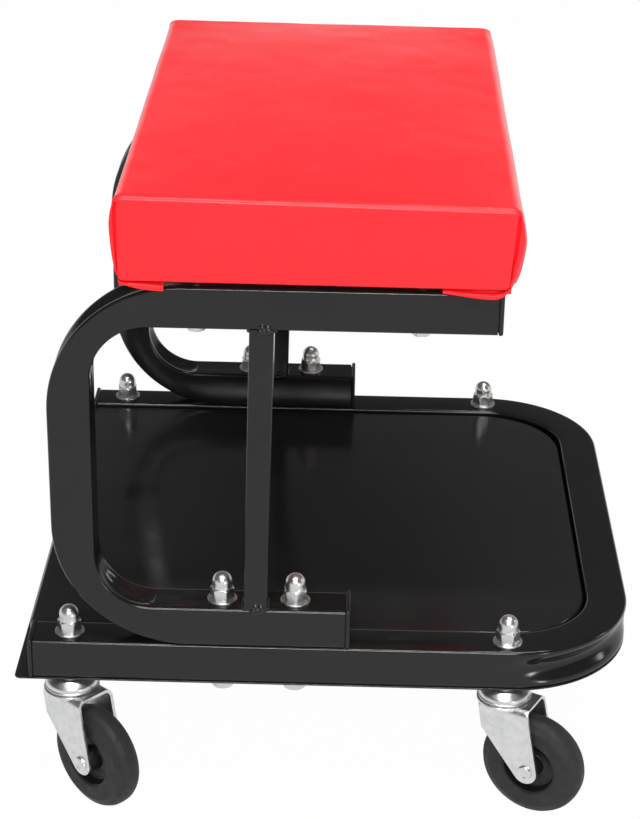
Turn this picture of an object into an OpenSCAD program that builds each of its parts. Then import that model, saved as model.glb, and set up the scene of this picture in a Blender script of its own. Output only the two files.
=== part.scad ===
// Rolling creeper seat: a U of bent square tube on four swivel casters, with a pressed tray in it,
// two C-shaped legs bolted on top and a padded seat across them.
// Lengths are in millimetres. The origin is on the floor under the middle of the tray.
// +X points to the closed end of the U, +Y to the rear leg and +Z up.

/* [Square tube] */
// Outside width of the square tube
tube_w = 25; // [22:0.5:28]
// Wall thickness of the square tube
tube_wall = 1.2; // [0.8:0.1:1.8]
// Outside corner radius of the tube
tube_corner_r = 2; // [1.4:0.1:3]
// Depth of the dish that bending presses into the inner and outer walls
bend_dish = 3; // [1:0.1:3.6]

/* [Base frame] */
// Length of the U, from its open ends to the outside of its closed end
base_l = 361; // [340:1:400]
// Width of the U, outside to outside
base_w = 363; // [330:1:400]
// Outside radius of the bends of the U
base_bend_r = 76; // [70:1:84]
// Inside radius of the bends of the U
base_inner_r = 50; // [44:1:52]

/* [Tray] */
// Thickness of the tray's sheet
tray_t = 1.2; // [0.8:0.1:2]
// How far the tray runs past the open ends of the U
tray_overhang = 12; // [6:1:20]
// Radius of the tray's free corners
tray_corner_r = 4; // [2:0.5:8]
// How far the tray's raised deck lies below the top of the U
deck_drop = 2.2; // [1.5:0.1:8]
// Gap between the deck and the U
deck_gap = 1.2; // [0.8:0.1:3]
// Distance from the tray's free edge to the deck
deck_setback = 9.5; // [6:0.5:20]
// Radius of the deck's corners at the open ends of the U
deck_corner_r = 6; // [5:0.5:10]
// Radius of the deck's corners at the closed end of the U
deck_bend_r = 54; // [52:1:64]
// Radius along the deck's edge
deck_edge_r = 2.6; // [2.2:0.1:4]

/* [Seat legs] */
// Height of a leg, outside to outside
leg_h = 229; // [210:1:260]
// Length of the lower arm, from the back of the leg
lower_arm_l = 172; // [165:1:190]
// Length of the upper arm, from the back of the leg
upper_arm_l = 253; // [235:1:270]
// Distance from the open ends of the U to the back of the legs
leg_setback = 14; // [8:1:20]
// Outside radius of the bends of a leg
leg_bend_r = 78; // [74:1:82]
// Inside radius of the bends of a leg
leg_inner_r = 34; // [31:1:38]

/* [Struts] */
// Width of the square struts
strut_w = 14; // [12:0.5:16]
// Wall thickness of the struts
strut_wall = 1.2; // [0.8:0.1:2]
// Distance from the back of the leg to the middle of the strut
strut_setback = 120.5; // [116:0.5:124]
// Leg length of the weld beads
weld_leg = 2.4; // [1.6:0.1:3]

/* [End caps] */
// Thickness of a cap's flange
cap_flange_t = 3; // [2:0.1:4]
// Depth of a cap's plug inside the tube
cap_plug_l = 12; // [8:0.5:16]
// How far the upper arms' caps stand proud of the tube all round
cap_lip = 1.2; // [0.5:0.1:2]
// Wall thickness of a cap's plug
cap_wall = 1.6; // [1.2:0.1:2.4]

/* [Fasteners] */
// Diameter of the frame bolts and of the caster stems
bolt_d = 8; // [7:0.5:9]
// Width across the flats of the frame bolts and nuts
bolt_af = 13; // [12:0.5:14]
// Height of the frame bolts' heads
bolt_head_h = 5.3; // [4:0.1:6]
// Diameter of the frame washers
washer_d = 17.6; // [16:0.1:20]
// Thickness of the frame washers
washer_t = 1.6; // [1.2:0.1:2]
// Height of the dome nuts
nut_h = 16.8; // [15:0.1:18]
// Height of the dome nuts' hexagon
nut_hex_h = 7.4; // [6:0.1:8]
// Diameter of the dome on a dome nut
nut_dome_d = 12; // [11:0.1:12.8]
// Distance between the two bolts of a leg
leg_bolt_pitch = 43.4; // [38:0.2:50]

/* [Seat] */
// Length of the seat, from the front leg to the rear leg
seat_l = 369; // [366:1:400]
// Width of the seat at its edges, along the legs' arms
seat_w = 218; // [205:1:225]
// Thickness of the seat from the underside to the top's edge
seat_h = 48.5; // [42:0.5:60]
// Distance from the back of the legs to the seat's edge
seat_setback = 43; // [38:1:48]
// Thickness of the cover's corner folds, which hold the seat above its legs
fold_t = 3.3; // [2.5:0.1:4.5]
// How far the sides swell out at half height
seat_swell = 3.2; // [1:0.1:5]
// Rise of the top's middle over its edge
seat_crown = 4; // [2:0.5:8]
// Radius of the seat's upright corners
seat_corner_r = 9; // [7:0.5:14]
// Radius of the seat's top edge
seat_edge_r = 5; // [3:0.5:7]
// Thickness of the seat board
board_t = 12; // [9:0.5:15]
// Thickness of the seat's cover
cover_t = 1.1; // [0.9:0.1:1.5]
// Width of the cover's hem under the board
hem_w = 32; // [28:1:40]
// Distance from the seat's edge to the first seat bolt
seat_bolt_inset = 42; // [36:1:48]
// Distance between the two seat bolts of a leg
seat_bolt_pitch = 126; // [115:1:130]
// Diameter of the seat bolts
seat_bolt_d = 6; // [5:0.5:6.5]

/* [Casters] */
// Height from the floor to the underside of the tray
caster_h = 84.2; // [80:0.1:92]
// Diameter of the wheels
wheel_d = 65; // [58:0.5:68]
// Width of the tread
wheel_w = 18; // [15:0.5:20]
// Distance from the swivel axis to the axle
wheel_trail = 21.6; // [19:0.1:24]
// Distance from the open ends of the U to the nearer stems
stem_open_inset = 21; // [18:1:24]
// Distance from the closed end of the U to the nearer stems
stem_closed_inset = 77.4; // [76:0.2:84]
// Space between the legs of a fork
fork_gap = 23.2; // [22:0.1:25]
// Thickness of a fork's sheet
fork_sheet = 2; // [1.6:0.1:2.4]
// Distance from the swivel axis to the fork's front edge
fork_reach = 20.6; // [19:0.1:22]
// Radius of the round end of a fork's legs
fork_end_r = 7.6; // [6.5:0.1:8.5]
// Diameter of the balls in the swivel race
ball_d = 5; // [4:0.1:5.4]
// Radius of the race cup
cup_r = 16; // [15:0.1:17]
// Diameter of the axle rivet
axle_d = 6; // [5:0.1:6.4]
// Diameter of the wheel's bore
wheel_bore_d = 8.1; // [8:0.1:9]
// Turn of the front left caster at rest
front_left_turn = -41.6; // [-180:0.1:180]
// Turn of the front right caster at rest
front_right_turn = -27.5; // [-180:0.1:180]
// Turn of the rear left caster at rest
rear_left_turn = 25; // [-180:0.1:180]
// Turn of the rear right caster at rest
rear_right_turn = 41.6; // [-180:0.1:180]

/* [Hidden] */
$fn = 64;

// Overrun of every cut past the face that it goes through
cut = 1;
// Clearance round a bolt or stem in a drilled hole
hole_play = 0.25;
// Running clearance of a pin in its bore, on the radius
pin_play = 0.06;
// Gap between two faces that slide past each other
slide_gap = 0.3;
// Clearance round a bolt in its nut, in place of the form of their threads
thread_play = 0.05;
// Gap between the pieces that meet in a caster's race
race_play = 0.05;

// Colours
black_paint = "#1a1a1c";
cap_black = "#262628";
bright_zinc = "#c9ccd0";
tyre_grey = "#333235";
vinyl_red = "#e8303a";
foam_cream = "#e6d8a8";
birch = "#c9a774";
yellow_zinc = "#b9b39a";

// Heights of the stack, from the floor up
tray_z = caster_h;
frame_z = tray_z + tray_t;
leg_z = frame_z + tube_w;
lower_arm_top = leg_z + tube_w;
leg_top = leg_z + leg_h;
upper_arm_z = leg_top - tube_w;
deck_z = leg_z - deck_drop;
seat_z = leg_top + fold_t;
board_z = seat_z + cover_t;
board_top = board_z + board_t;

// Places along X
closed_x = (base_l + tray_overhang) / 2;
tray_x = -closed_x;
deck_x = tray_x + deck_setback;
deck_end_x = closed_x - tube_w - deck_gap;
open_x = tray_x + tray_overhang;
leg_x = open_x + leg_setback;
strut_x = leg_x + strut_setback;
seat_x = leg_x + seat_setback;
seat_mid_x = seat_x + seat_w / 2;
leg_bolt_xs = [strut_x - leg_bolt_pitch / 2, strut_x + leg_bolt_pitch / 2];
seat_bolt_xs = [seat_x + seat_bolt_inset, seat_x + seat_bolt_inset + seat_bolt_pitch];
stem_xs = [open_x + stem_open_inset, closed_x - stem_closed_inset];

// Places along Y: the middle of the front and of the rear tube, and the sides of the deck
rail_y = (base_w - tube_w) / 2;
rail_ys = [-rail_y, rail_y];
deck_half = base_w / 2 - tube_w - deck_gap;

// Middles of the deck's corners, each with its radius, anticlockwise from the rear right one
deck_corners = [
    [deck_end_x - deck_bend_r, deck_half - deck_bend_r, deck_bend_r],
    [deck_x + deck_corner_r, deck_half - deck_corner_r, deck_corner_r],
    [deck_x + deck_corner_r, deck_corner_r - deck_half, deck_corner_r],
    [deck_end_x - deck_bend_r, deck_bend_r - deck_half, deck_bend_r]];

// Bent tubes
bend_steps = 12;
corner_steps = 2;
dish_shares = [-0.75, -0.4, 0, 0.4, 0.75];
least_corner_r = 0.5;

// Struts
strut_inner = strut_w - 2 * strut_wall;
strut_dy = (strut_w - tube_w) / 2;
strut_l = upper_arm_z - lower_arm_top;
weld_drop_d = 8;
weld_drop_h = 1.8;
weld_drop_r = (pow(weld_drop_d / 2, 2) + pow(weld_drop_h, 2)) / (2 * weld_drop_h);

// End caps
cap_play = 0.1;
cap_body = tube_w - 2 * tube_wall - 2 * cap_play;

// Frame fasteners
bolt_end_gap = 2;
bolt_reach = nut_hex_h + bolt_end_gap;
nut_bore_h = bolt_reach + bolt_end_gap;
hex_bevel = 0.7;

// Seat fasteners
seat_bolt_af = 10;
seat_bolt_head_h = 4;
seat_washer_d = 14;
seat_washer_t = 1.2;
tee_barrel_d = 8;
tee_flange_d = 19;
tee_flange_t = 1.4;
tee_gap = 0.4;
seat_bolt_top_gap = 1;

// Steps round the seat's outline, up its side, and over the edges of the seat and the deck
outline_steps = 5;
side_steps = 6;
edge_steps = 3;
under_r = 2;
crown_shares = [0.92, 0.72, 0.46, 0.2];
foam_play = 0.05;
board_play = 0.3;

// Corner folds of the cover, lying on the legs' upper arms
fold_lengths = [20.5, 35];
fold_start_t = 1.2;
fold_full_share = 0.5;
fold_setback = 1;
fold_w = tube_w + 2;

// Casters
wheel_z = wheel_d / 2;
cup_t = 1.5;
cup_rim_gap = 0.5;
cup_h = ball_d + 2 * race_play + cup_t;
cup_fillet = 3.6;
collar_h = 3.5;
fork_top = caster_h - collar_h - cup_h;
fork_w = fork_gap + 2 * fork_sheet;
fork_shoulder_r = 5;
fork_back = 14;
fork_back_drop = 8;
fork_race_r = cup_r + 1;
fork_race_t = 3.4;
fork_race_bevel = 1.2;
kingpin_d = 10;
kingpin_head_d = 15;
kingpin_head_h = 2.4;
collar_d = 20;
ball_count = 12;
ball_ring_r = cup_r - cup_t - ball_d / 2 - 2 * slide_gap;
bush_d = wheel_bore_d - 2 * pin_play;
rivet_head_d = 9.4;
rivet_head_h = 1.6;
rivet_fillet = 0.7;
hub_d = 15;
wheel_shoulder_r = 5;
wheel_recess_r = 17.2;
wheel_recess_t = 4;
wheel_lip = 1;

caster_turns = [front_left_turn, front_right_turn, rear_left_turn, rear_right_turn];

CORNERS = ["front_left", "front_right", "rear_left", "rear_right"];
CASTER_PIECES = ["caster_stem", "race_cup", "race_balls", "fork", "axle_rivet", "axle_bush", "wheel"];

// Bent square tube

// A vector turned a quarter to the left
function turned(v) = [-v.y, v.x];

// Stations round one bend, each with a point of the outer wall, a point of the inner wall and
// the share of the full dish. The two walls bend about centres of their own, so the tube is
// squeezed at the middle of the bend, as a bending press leaves it.
function bend_stations(corner, along, outer_r, inner_r) =
    let (across = turned(along),
         outer_c = corner + outer_r * (across - along),
         inner_c = corner + (tube_w + inner_r) * (across - along))
    [for (i = [0:bend_steps])
        let (a = 90 * i / bend_steps,
             ray = sin(a) * along - cos(a) * across)
        [outer_c + outer_r * ray, inner_c + inner_r * ray, sin(2 * a)]];

// Stations of a tube that runs straight, bends left at two corners and runs back
function hairpin_stations(start, corner_1, corner_2, end, outer_r, inner_r) =
    let (go = (corner_1 - start) / norm(corner_1 - start),
         over = turned(go),
         back = turned(over))
    concat(
        [[start, start + tube_w * over, 0]],
        bend_stations(corner_1, go, outer_r, inner_r),
        bend_stations(corner_2, over, outer_r, inner_r),
        [[end, end + tube_w * turned(back), 0]]);

// Points of a quarter round at a corner of the section
function quarter(c, r, from) =
    [for (i = [0:corner_steps])
        let (a = from + 90 * i / corner_steps)
        c + r * [cos(a), sin(a)]];

// How deep the dish is at a share of the wall's half width
function dish_at(share) = pow(1 - share * share, 2);

// Section of the tube at a station: rounded corners, and outer and inner walls that are dished.
// The inset is zero on the outside and the wall's thickness on the inside.
function tube_ring(station, inset) =
    let (outer = station[0],
         inner = station[1],
         depth = norm(outer - inner),
         ray = (outer - inner) / depth,
         dish = bend_dish * station[2],
         r = max(tube_corner_r - inset, least_corner_r),
         low = inset + r,
         high = depth - inset - r,
         half = tube_w / 2 - inset - r,
         section = concat(
             quarter([high, -half], r, -90),
             [for (s = dish_shares) [high + r - dish * dish_at(s), half * s]],
             quarter([high, half], r, 0),
             quarter([low, half], r, 90),
             [for (s = dish_shares) [low - r + dish * dish_at(s), -half * s]],
             quarter([low, -half], r, 180)))
    [for (p = section)
        let (q = inner + p.x * ray)
        [q.x, q.y, p.y]];

// Two triangles for each cell between two rings of n points that start at the points a and b
function band(a, b, n) =
    [for (k = [0:n - 1])
        let (m = (k + 1) % n)
        each [[a + k, a + m, b + m], [a + k, b + m, b + k]]];

// Hollow tube through the stations, with open ends
module bent_tube(stations) {
    outside = [for (s = stations) each tube_ring(s, 0)];
    inside = [for (s = stations) each tube_ring(s, tube_wall)];
    n = len(tube_ring(stations[0], 0));
    last = len(stations) - 1;
    shift = len(outside);
    polyhedron(
        points = concat(outside, inside),
        faces = concat(
            [for (s = [0:last - 1]) each band(n * s, n * (s + 1), n)],
            [for (s = [0:last - 1]) each band(shift + n * (s + 1), shift + n * s, n)],
            band(shift, 0, n),
            band(n * last, shift + n * last, n)),
        convexity = 8);
}

// Upright hole at each place in a list, through everything between two heights
module drill(places, d, low, high) {
    for (p = places)
        translate([p.x, p.y, low - cut])
            cylinder(h = high - low + 2 * cut, d = d);
}

function grid(xs, ys) = [for (x = xs, y = ys) [x, y]];
stem_places = grid(stem_xs, rail_ys);
leg_bolt_places = grid(leg_bolt_xs, rail_ys);
seat_bolt_places = grid(seat_bolt_xs, rail_ys);

// Frame, tray and legs

module base_frame() {
    color(black_paint)
    difference() {
        translate([0, 0, frame_z + tube_w / 2])
            bent_tube(hairpin_stations(
                [open_x, -base_w / 2], [closed_x, -base_w / 2],
                [closed_x, base_w / 2], [open_x, base_w / 2],
                base_bend_r, base_inner_r));
        drill(concat(stem_places, leg_bolt_places), bolt_d + 2 * hole_play, frame_z, leg_z);
    }
}

// Outline of the tray: square free corners at the open end, and the U's bends at the other
module tray_outline() {
    half = base_w / 2;
    translate([tray_x + tray_corner_r, -half])
        square([base_l + tray_overhang - tray_corner_r - base_bend_r, base_w]);
    translate([tray_x, -half + tray_corner_r])
        square([base_l + tray_overhang - base_bend_r, base_w - 2 * tray_corner_r]);
    translate([tray_x + tray_corner_r, -half + base_bend_r])
        square([base_l + tray_overhang - tray_corner_r, base_w - 2 * base_bend_r]);
    for (side = [-1, 1]) {
        translate([tray_x + tray_corner_r, side * (half - tray_corner_r)])
            circle(r = tray_corner_r);
        translate([closed_x - base_bend_r, side * (half - base_bend_r)])
            circle(r = base_bend_r);
    }
}

// Points round the deck at height z, a given distance inside its sides
function deck_ring(inset, z) =
    [for (q = [0:3], i = [0:bend_steps])
        let (a = 90 * q + 90 * i / bend_steps,
             r = deck_corners[q][2] - inset)
        [deck_corners[q].x + r * cos(a), deck_corners[q].y + r * sin(a), z]];

// Block with the form of the deck: its outside at an inset of zero, and its hollow
// at an inset of the sheet's thickness
module deck_block(inset, low) {
    r = deck_edge_r - inset;
    edge = [for (i = [0:edge_steps])
        let (a = 90 * i / edge_steps)
        deck_ring(inset + r * (1 - cos(a)), deck_z - inset - r * (1 - sin(a)))];
    rings = concat([deck_ring(inset, low)], edge);
    n = len(rings[0]);
    last = len(rings) - 1;
    polyhedron(
        points = [for (ring = rings) each ring],
        faces = [
            [for (k = [0:n - 1]) k],
            for (s = [0:last - 1]) each band(n * (s + 1), n * s, n),
            [for (k = [n - 1:-1:0]) n * last + k]],
        convexity = 4);
}

// Tray pressed from one sheet: a flange that the casters and bolts hold to the underside
// of the U, and a raised deck inside the U
module tray() {
    color(black_paint)
    difference() {
        union() {
            translate([0, 0, tray_z])
                linear_extrude(tray_t)
                    tray_outline();
            deck_block(0, tray_z);
        }
        deck_block(tray_t, tray_z - cut);
        drill(concat(stem_places, leg_bolt_places), bolt_d + 2 * hole_play, tray_z, frame_z);
    }
}

module seat_leg(y) {
    color(black_paint)
    difference() {
        translate([0, y, 0])
            rotate([90, 0, 0])
                bent_tube(hairpin_stations(
                    [leg_x + upper_arm_l, leg_top], [leg_x, leg_top],
                    [leg_x, leg_z], [leg_x + lower_arm_l, leg_z],
                    leg_bend_r, leg_inner_r));
        drill(leg_bolt_places, bolt_d + 2 * hole_play, leg_z, lower_arm_top);
        drill(seat_bolt_places, seat_bolt_d + 2 * hole_play, upper_arm_z, leg_top);
    }
}

module front_seat_leg() {
    seat_leg(-rail_y);
}

module rear_seat_leg() {
    seat_leg(rail_y);
}

// Square with rounded corners, centred
module rounded_square(w, r) {
    square([w, w - 2 * r], center = true);
    square([w - 2 * r, w], center = true);
    for (x = [-1, 1], y = [-1, 1])
        translate([x, y] * (w / 2 - r))
            circle(r = r);
}

// Plastic cap in the end of a tube: the flange covers the end, proud of it by the lip all
// round, and the plug sits inside. The plug reaches towards -X.
module end_cap(lip) {
    plug_r = max(tube_corner_r - tube_wall, least_corner_r);
    color(cap_black)
    rotate([90, 0, 90]) {
        linear_extrude(cap_flange_t)
            rounded_square(tube_w + 2 * lip, tube_corner_r + lip);
        translate([0, 0, -cap_plug_l])
            linear_extrude(cap_plug_l)
                difference() {
                    rounded_square(cap_body, plug_r);
                    square(cap_body - 2 * cap_wall, center = true);
                }
    }
}

module base_end_caps() {
    for (y = rail_ys)
        translate([open_x, y, frame_z + tube_w / 2])
            mirror([1, 0, 0])
                end_cap(0);
}

module leg_end_caps() {
    for (y = rail_ys) {
        translate([leg_x + lower_arm_l, y, leg_z + tube_w / 2])
            end_cap(0);
        translate([leg_x + upper_arm_l, y, leg_top - tube_w / 2])
            end_cap(cap_lip);
    }
}

// Square strut between the arms of a leg, flush with the leg's front face
module strut(y) {
    color(black_paint)
    translate([strut_x, y + strut_dy, lower_arm_top])
        linear_extrude(strut_l)
            difference() {
                square(strut_w, center = true);
                square(strut_inner, center = true);
            }
}

module front_strut() {
    strut(-rail_y);
}

module rear_strut() {
    strut(rail_y);
}

// Fillet bead along Y, in the corner between a floor and a wall on its -X side
module weld_bead(length) {
    rotate([90, 0, 0])
        translate([0, 0, -length / 2])
            linear_extrude(length)
                intersection() {
                    square(weld_leg);
                    circle(r = weld_leg);
                }
}

// Low round drop on a face that looks towards -Y
module weld_drop() {
    rotate([90, 0, 0])
        rotate_extrude()
            intersection() {
                translate([0, weld_drop_h - weld_drop_r])
                    circle(r = weld_drop_r);
                square([weld_drop_d / 2, weld_drop_h]);
            }
}

// At both ends of a strut: a bead on each of its sides, and a drop on its front face
module strut_welds() {
    color(black_paint)
    for (y = rail_ys, top = [0, 1])
        translate([strut_x, y + strut_dy, (top == 1) ? upper_arm_z : lower_arm_top]) {
            translate([0, -strut_w / 2, 0])
                weld_drop();
            for (side = [0, 1])
                mirror([side, 0, 0])
                    mirror([0, 0, top])
                        translate([strut_w / 2, 0, 0])
                            weld_bead(strut_w);
        }
}

// Frame fasteners

module hexagon(af, h) {
    cylinder(h = h, d = af / cos(30), $fn = 6);
}

// Hexagon whose upper corners are turned off
module bevelled_hexagon(af, h) {
    corner_d = af / cos(30);
    intersection() {
        hexagon(af, h);
        union() {
            cylinder(h = h - hex_bevel, d = corner_d + cut);
            translate([0, 0, h - hex_bevel])
                cylinder(h = hex_bevel, d1 = corner_d, d2 = corner_d - 2 * hex_bevel);
        }
    }
}

// Bolt that stands on its head: the head is below the place, the shank above it
module hex_bolt(d, af, head_h, shank_l) {
    color(bright_zinc) {
        mirror([0, 0, 1])
            bevelled_hexagon(af, head_h);
        cylinder(h = shank_l, d = d);
    }
}

module washer(d, hole_d, t) {
    color(bright_zinc)
    difference() {
        cylinder(h = t, d = d);
        translate([0, 0, -cut])
            cylinder(h = t + 2 * cut, d = hole_d);
    }
}

module dome_nut() {
    color(bright_zinc)
    difference() {
        union() {
            bevelled_hexagon(bolt_af, nut_hex_h);
            cylinder(h = nut_h - nut_dome_d / 2, d = nut_dome_d);
            translate([0, 0, nut_h - nut_dome_d / 2])
                sphere(d = nut_dome_d);
        }
        translate([0, 0, -cut])
            cylinder(h = nut_bore_h + cut, d = bolt_d + 2 * thread_play);
    }
}

module leg_bolts() {
    shank_l = lower_arm_top - tray_z + washer_t + bolt_reach;
    for (p = leg_bolt_places)
        translate([p.x, p.y, tray_z])
            hex_bolt(bolt_d, bolt_af, bolt_head_h, shank_l);
}

module leg_washers() {
    for (p = leg_bolt_places)
        translate([p.x, p.y, lower_arm_top])
            washer(washer_d, bolt_d + 2 * hole_play, washer_t);
}

module leg_dome_nuts() {
    for (p = leg_bolt_places)
        translate([p.x, p.y, lower_arm_top + washer_t])
            dome_nut();
}

module caster_washers() {
    for (p = stem_places)
        translate([p.x, p.y, leg_z])
            washer(washer_d, bolt_d + 2 * hole_play, washer_t);
}

module caster_dome_nuts() {
    for (p = stem_places)
        translate([p.x, p.y, leg_z + washer_t])
            dome_nut();
}

// Seat

// Points round a rounded rectangle at height z, anticlockwise from above
function outline_ring(half_x, half_y, r, z) =
    [for (q = [0:3], i = [0:outline_steps])
        let (a = 90 * q + 90 * i / outline_steps,
             sx = (q == 0 || q == 3) ? 1 : -1,
             sy = (q < 2) ? 1 : -1)
        [seat_mid_x + sx * (half_x - r) + r * cos(a), sy * (half_y - r) + r * sin(a), z]];

// Levels of the seat's form, each with its growth over the plan size and its height.
// The inset is zero on the cover's outside and the cover's thickness on its inside.
function seat_levels(inset, low) =
    let (side_low = seat_z + under_r,
         side_high = seat_z + seat_h - seat_edge_r,
         side_h = side_high - side_low,
         edge_r = seat_edge_r - inset)
    concat(
        inset == 0 ? [[-under_r, seat_z]] : [[-inset, low]],
        [for (i = [0:side_steps])
            let (share = i / side_steps, z = side_low + side_h * share)
            if (z > low)
                [seat_swell * sin(180 * share) - inset, z]],
        [for (i = [1:edge_steps])
            let (a = 90 * i / edge_steps)
            [edge_r * cos(a) - seat_edge_r, side_high + edge_r * sin(a)]]);

// Closed crowned form of the seat, from the height low up
module seat_form(inset, low) {
    half = [seat_w, seat_l] / 2;
    levels = seat_levels(inset, low);
    top = levels[len(levels) - 1];
    sides = [for (level = levels)
        outline_ring(half.x + level[0], half.y + level[0], seat_corner_r, level[1])];
    crown = [for (share = crown_shares)
        outline_ring((half.x + top[0]) * share, (half.y + top[0]) * share,
            seat_corner_r * share, top[1] + seat_crown * (1 - share * share))];
    rings = concat(sides, crown);
    n = len(rings[0]);
    last = len(rings) - 1;
    polyhedron(
        points = concat([for (ring = rings) each ring],
            [[seat_mid_x, 0, top[1] + seat_crown], [seat_mid_x, 0, levels[0][1]]]),
        faces = concat(
            [for (s = [0:last - 1]) each band(n * (s + 1), n * s, n)],
            [for (k = [0:n - 1]) [n * last + (k + 1) % n, n * last + k, n * (last + 1)]],
            [for (k = [0:n - 1]) [k, (k + 1) % n, n * (last + 1) + 1]]),
        convexity = 4);
}

// Plate with round corners in the plan of the seat
module seat_plate(margin, z, t) {
    r = seat_corner_r - margin;
    half = [seat_w / 2 - margin, seat_l / 2 - margin];
    translate([seat_mid_x, 0, z])
        linear_extrude(t) {
            square(2 * [half.x, half.y - r], center = true);
            square(2 * [half.x - r, half.y], center = true);
            for (x = [-1, 1], y = [-1, 1])
                translate([x * (half.x - r), y * (half.y - r)])
                    circle(r = r);
        }
}

module seat_board() {
    color(birch)
    difference() {
        seat_plate(cover_t + board_play, board_z, board_t);
        drill(seat_bolt_places, tee_barrel_d + 2 * pin_play, board_z, board_top);
        for (p = seat_bolt_places)
            translate([p.x, p.y, board_top - tee_flange_t])
                cylinder(h = tee_flange_t + cut, d = tee_flange_d + 2 * hole_play);
    }
}

module seat_foam() {
    color(foam_cream)
    seat_form(cover_t + foam_play, board_top);
}

// A fold of the cover that starts thin at a corner of the seat and runs along an arm
module corner_fold(length) {
    full_x = length * fold_full_share;
    translate([seat_corner_r / 2, fold_w / 2, seat_z])
        rotate([90, 0, 0])
            linear_extrude(fold_w)
                polygon([[0, 0], [0, -fold_start_t], [full_x, -fold_t], [length, -fold_t], [length, 0]]);
}

// The folds at the four corners, between the seat and the legs' arms
module corner_folds() {
    fold_y = seat_l / 2 - fold_setback - fold_w / 2;
    for (y = [-fold_y, fold_y]) {
        translate([seat_x, y, 0])
            corner_fold(fold_lengths[0]);
        translate([seat_x + seat_w, y, 0])
            mirror([1, 0, 0])
                corner_fold(fold_lengths[1]);
    }
}

module seat_cover() {
    color(vinyl_red)
    difference() {
        union() {
            seat_form(0, seat_z);
            corner_folds();
        }
        seat_form(cover_t, board_z);
        translate([seat_mid_x, 0, seat_z])
            cube([seat_w - 2 * hem_w, seat_l - 2 * hem_w, 4 * cover_t], center = true);
        drill(seat_bolt_places, seat_bolt_d + 2 * hole_play, seat_z, board_z);
    }
}

module seat_bolts() {
    shank_l = board_top - upper_arm_z + seat_washer_t - seat_bolt_top_gap;
    for (p = seat_bolt_places)
        translate([p.x, p.y, upper_arm_z - seat_washer_t])
            hex_bolt(seat_bolt_d, seat_bolt_af, seat_bolt_head_h, shank_l);
}

module seat_bolt_washers() {
    for (p = seat_bolt_places)
        translate([p.x, p.y, upper_arm_z - seat_washer_t])
            washer(seat_washer_d, seat_bolt_d + 2 * hole_play, seat_washer_t);
}

// Barrel nuts let into the board from above, with a flange under the foam
module seat_tee_nuts() {
    color(yellow_zinc)
    for (p = seat_bolt_places)
        translate([p.x, p.y, board_z + tee_gap])
            difference() {
                union() {
                    cylinder(h = board_t - tee_gap, d = tee_barrel_d);
                    translate([0, 0, board_t - tee_gap - tee_flange_t])
                        cylinder(h = tee_flange_t, d = tee_flange_d);
                }
                translate([0, 0, -cut])
                    cylinder(h = board_t + 2 * cut, d = seat_bolt_d + 2 * thread_play);
            }
}

// Casters. Each piece is drawn with the swivel axis on Z, the floor at zero and the wheel
// trailing towards +X.

module at_caster(i) {
    translate([stem_xs[i % 2], rail_ys[floor(i / 2)], 0])
        rotate([0, 0, caster_turns[i]])
            children();
}

// Half of a turned part's outline: a disc of radius r and height h with its top edge rounded
module button_outline(r, h, fillet) {
    square([r, h - fillet]);
    square([r - fillet, h]);
    translate([r - fillet, h - fillet])
        intersection() {
            circle(r = fillet);
            square(fillet);
        }
}

// Kingpin, collar and threaded stem, turned from one bar
module caster_stem() {
    head_z = fork_top - fork_race_t - race_play;
    collar_z = caster_h - collar_h;
    stem_top = leg_z + washer_t + bolt_reach;
    color(bright_zinc) {
        translate([0, 0, head_z])
            mirror([0, 0, 1])
                cylinder(h = kingpin_head_h, d1 = kingpin_head_d, d2 = kingpin_d);
        translate([0, 0, head_z])
            cylinder(h = collar_z - head_z, d = kingpin_d);
        translate([0, 0, collar_z])
            cylinder(h = collar_h, d = collar_d);
        translate([0, 0, caster_h])
            cylinder(h = stem_top - caster_h, d = bolt_d);
    }
}

// Pressed cup that holds the balls down on the fork
module race_cup() {
    color(bright_zinc)
    translate([0, 0, fork_top])
        difference() {
            rotate_extrude()
                button_outline(cup_r, cup_h, cup_fillet);
            rotate_extrude()
                button_outline(cup_r - cup_t, cup_h - cup_t, cup_fillet - cup_t);
            translate([0, 0, -cut])
                cylinder(h = cup_rim_gap + cut, r = cup_r + cut);
            translate([0, 0, -cut])
                cylinder(h = cup_h + 2 * cut, d = kingpin_d + 2 * pin_play);
        }
}

module race_balls() {
    color(bright_zinc)
    for (i = [0:ball_count - 1])
        rotate([0, 0, 360 * i / ball_count])
            translate([ball_ring_r, 0, fork_top + race_play + ball_d / 2])
                sphere(d = ball_d);
}

// Arch of a given width with round shoulders, open at the bottom
module arch_outline(width, top, r) {
    translate([-width / 2, 0])
        square([width, top - r]);
    translate([-width / 2 + r, 0])
        square([width - 2 * r, top]);
    for (side = [-1, 1])
        translate([side * (width / 2 - r), top - r])
            circle(r = r);
}

// Point where the line from p touches the circle of radius r round c, on the left or right
function tangent_point(p, c, r, side) =
    let (d = norm(c - p),
         reach = sqrt(d * d - r * r),
         a = atan2(c.y - p.y, c.x - p.x) + side * asin(r / d))
    p + reach * [cos(a), sin(a)];

// Outline of the fork from the side: straight front edge, sloped back edge, round end
module fork_side_outline() {
    axle = [wheel_trail, wheel_z];
    front = [fork_reach, fork_top];
    back = [-fork_back, fork_top - fork_back_drop];
    polygon([
        [-fork_back, fork_top], back,
        tangent_point(back, axle, fork_end_r, -1), axle,
        tangent_point(front, axle, fork_end_r, 1), front]);
    translate(axle)
        circle(r = fork_end_r);
}

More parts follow.
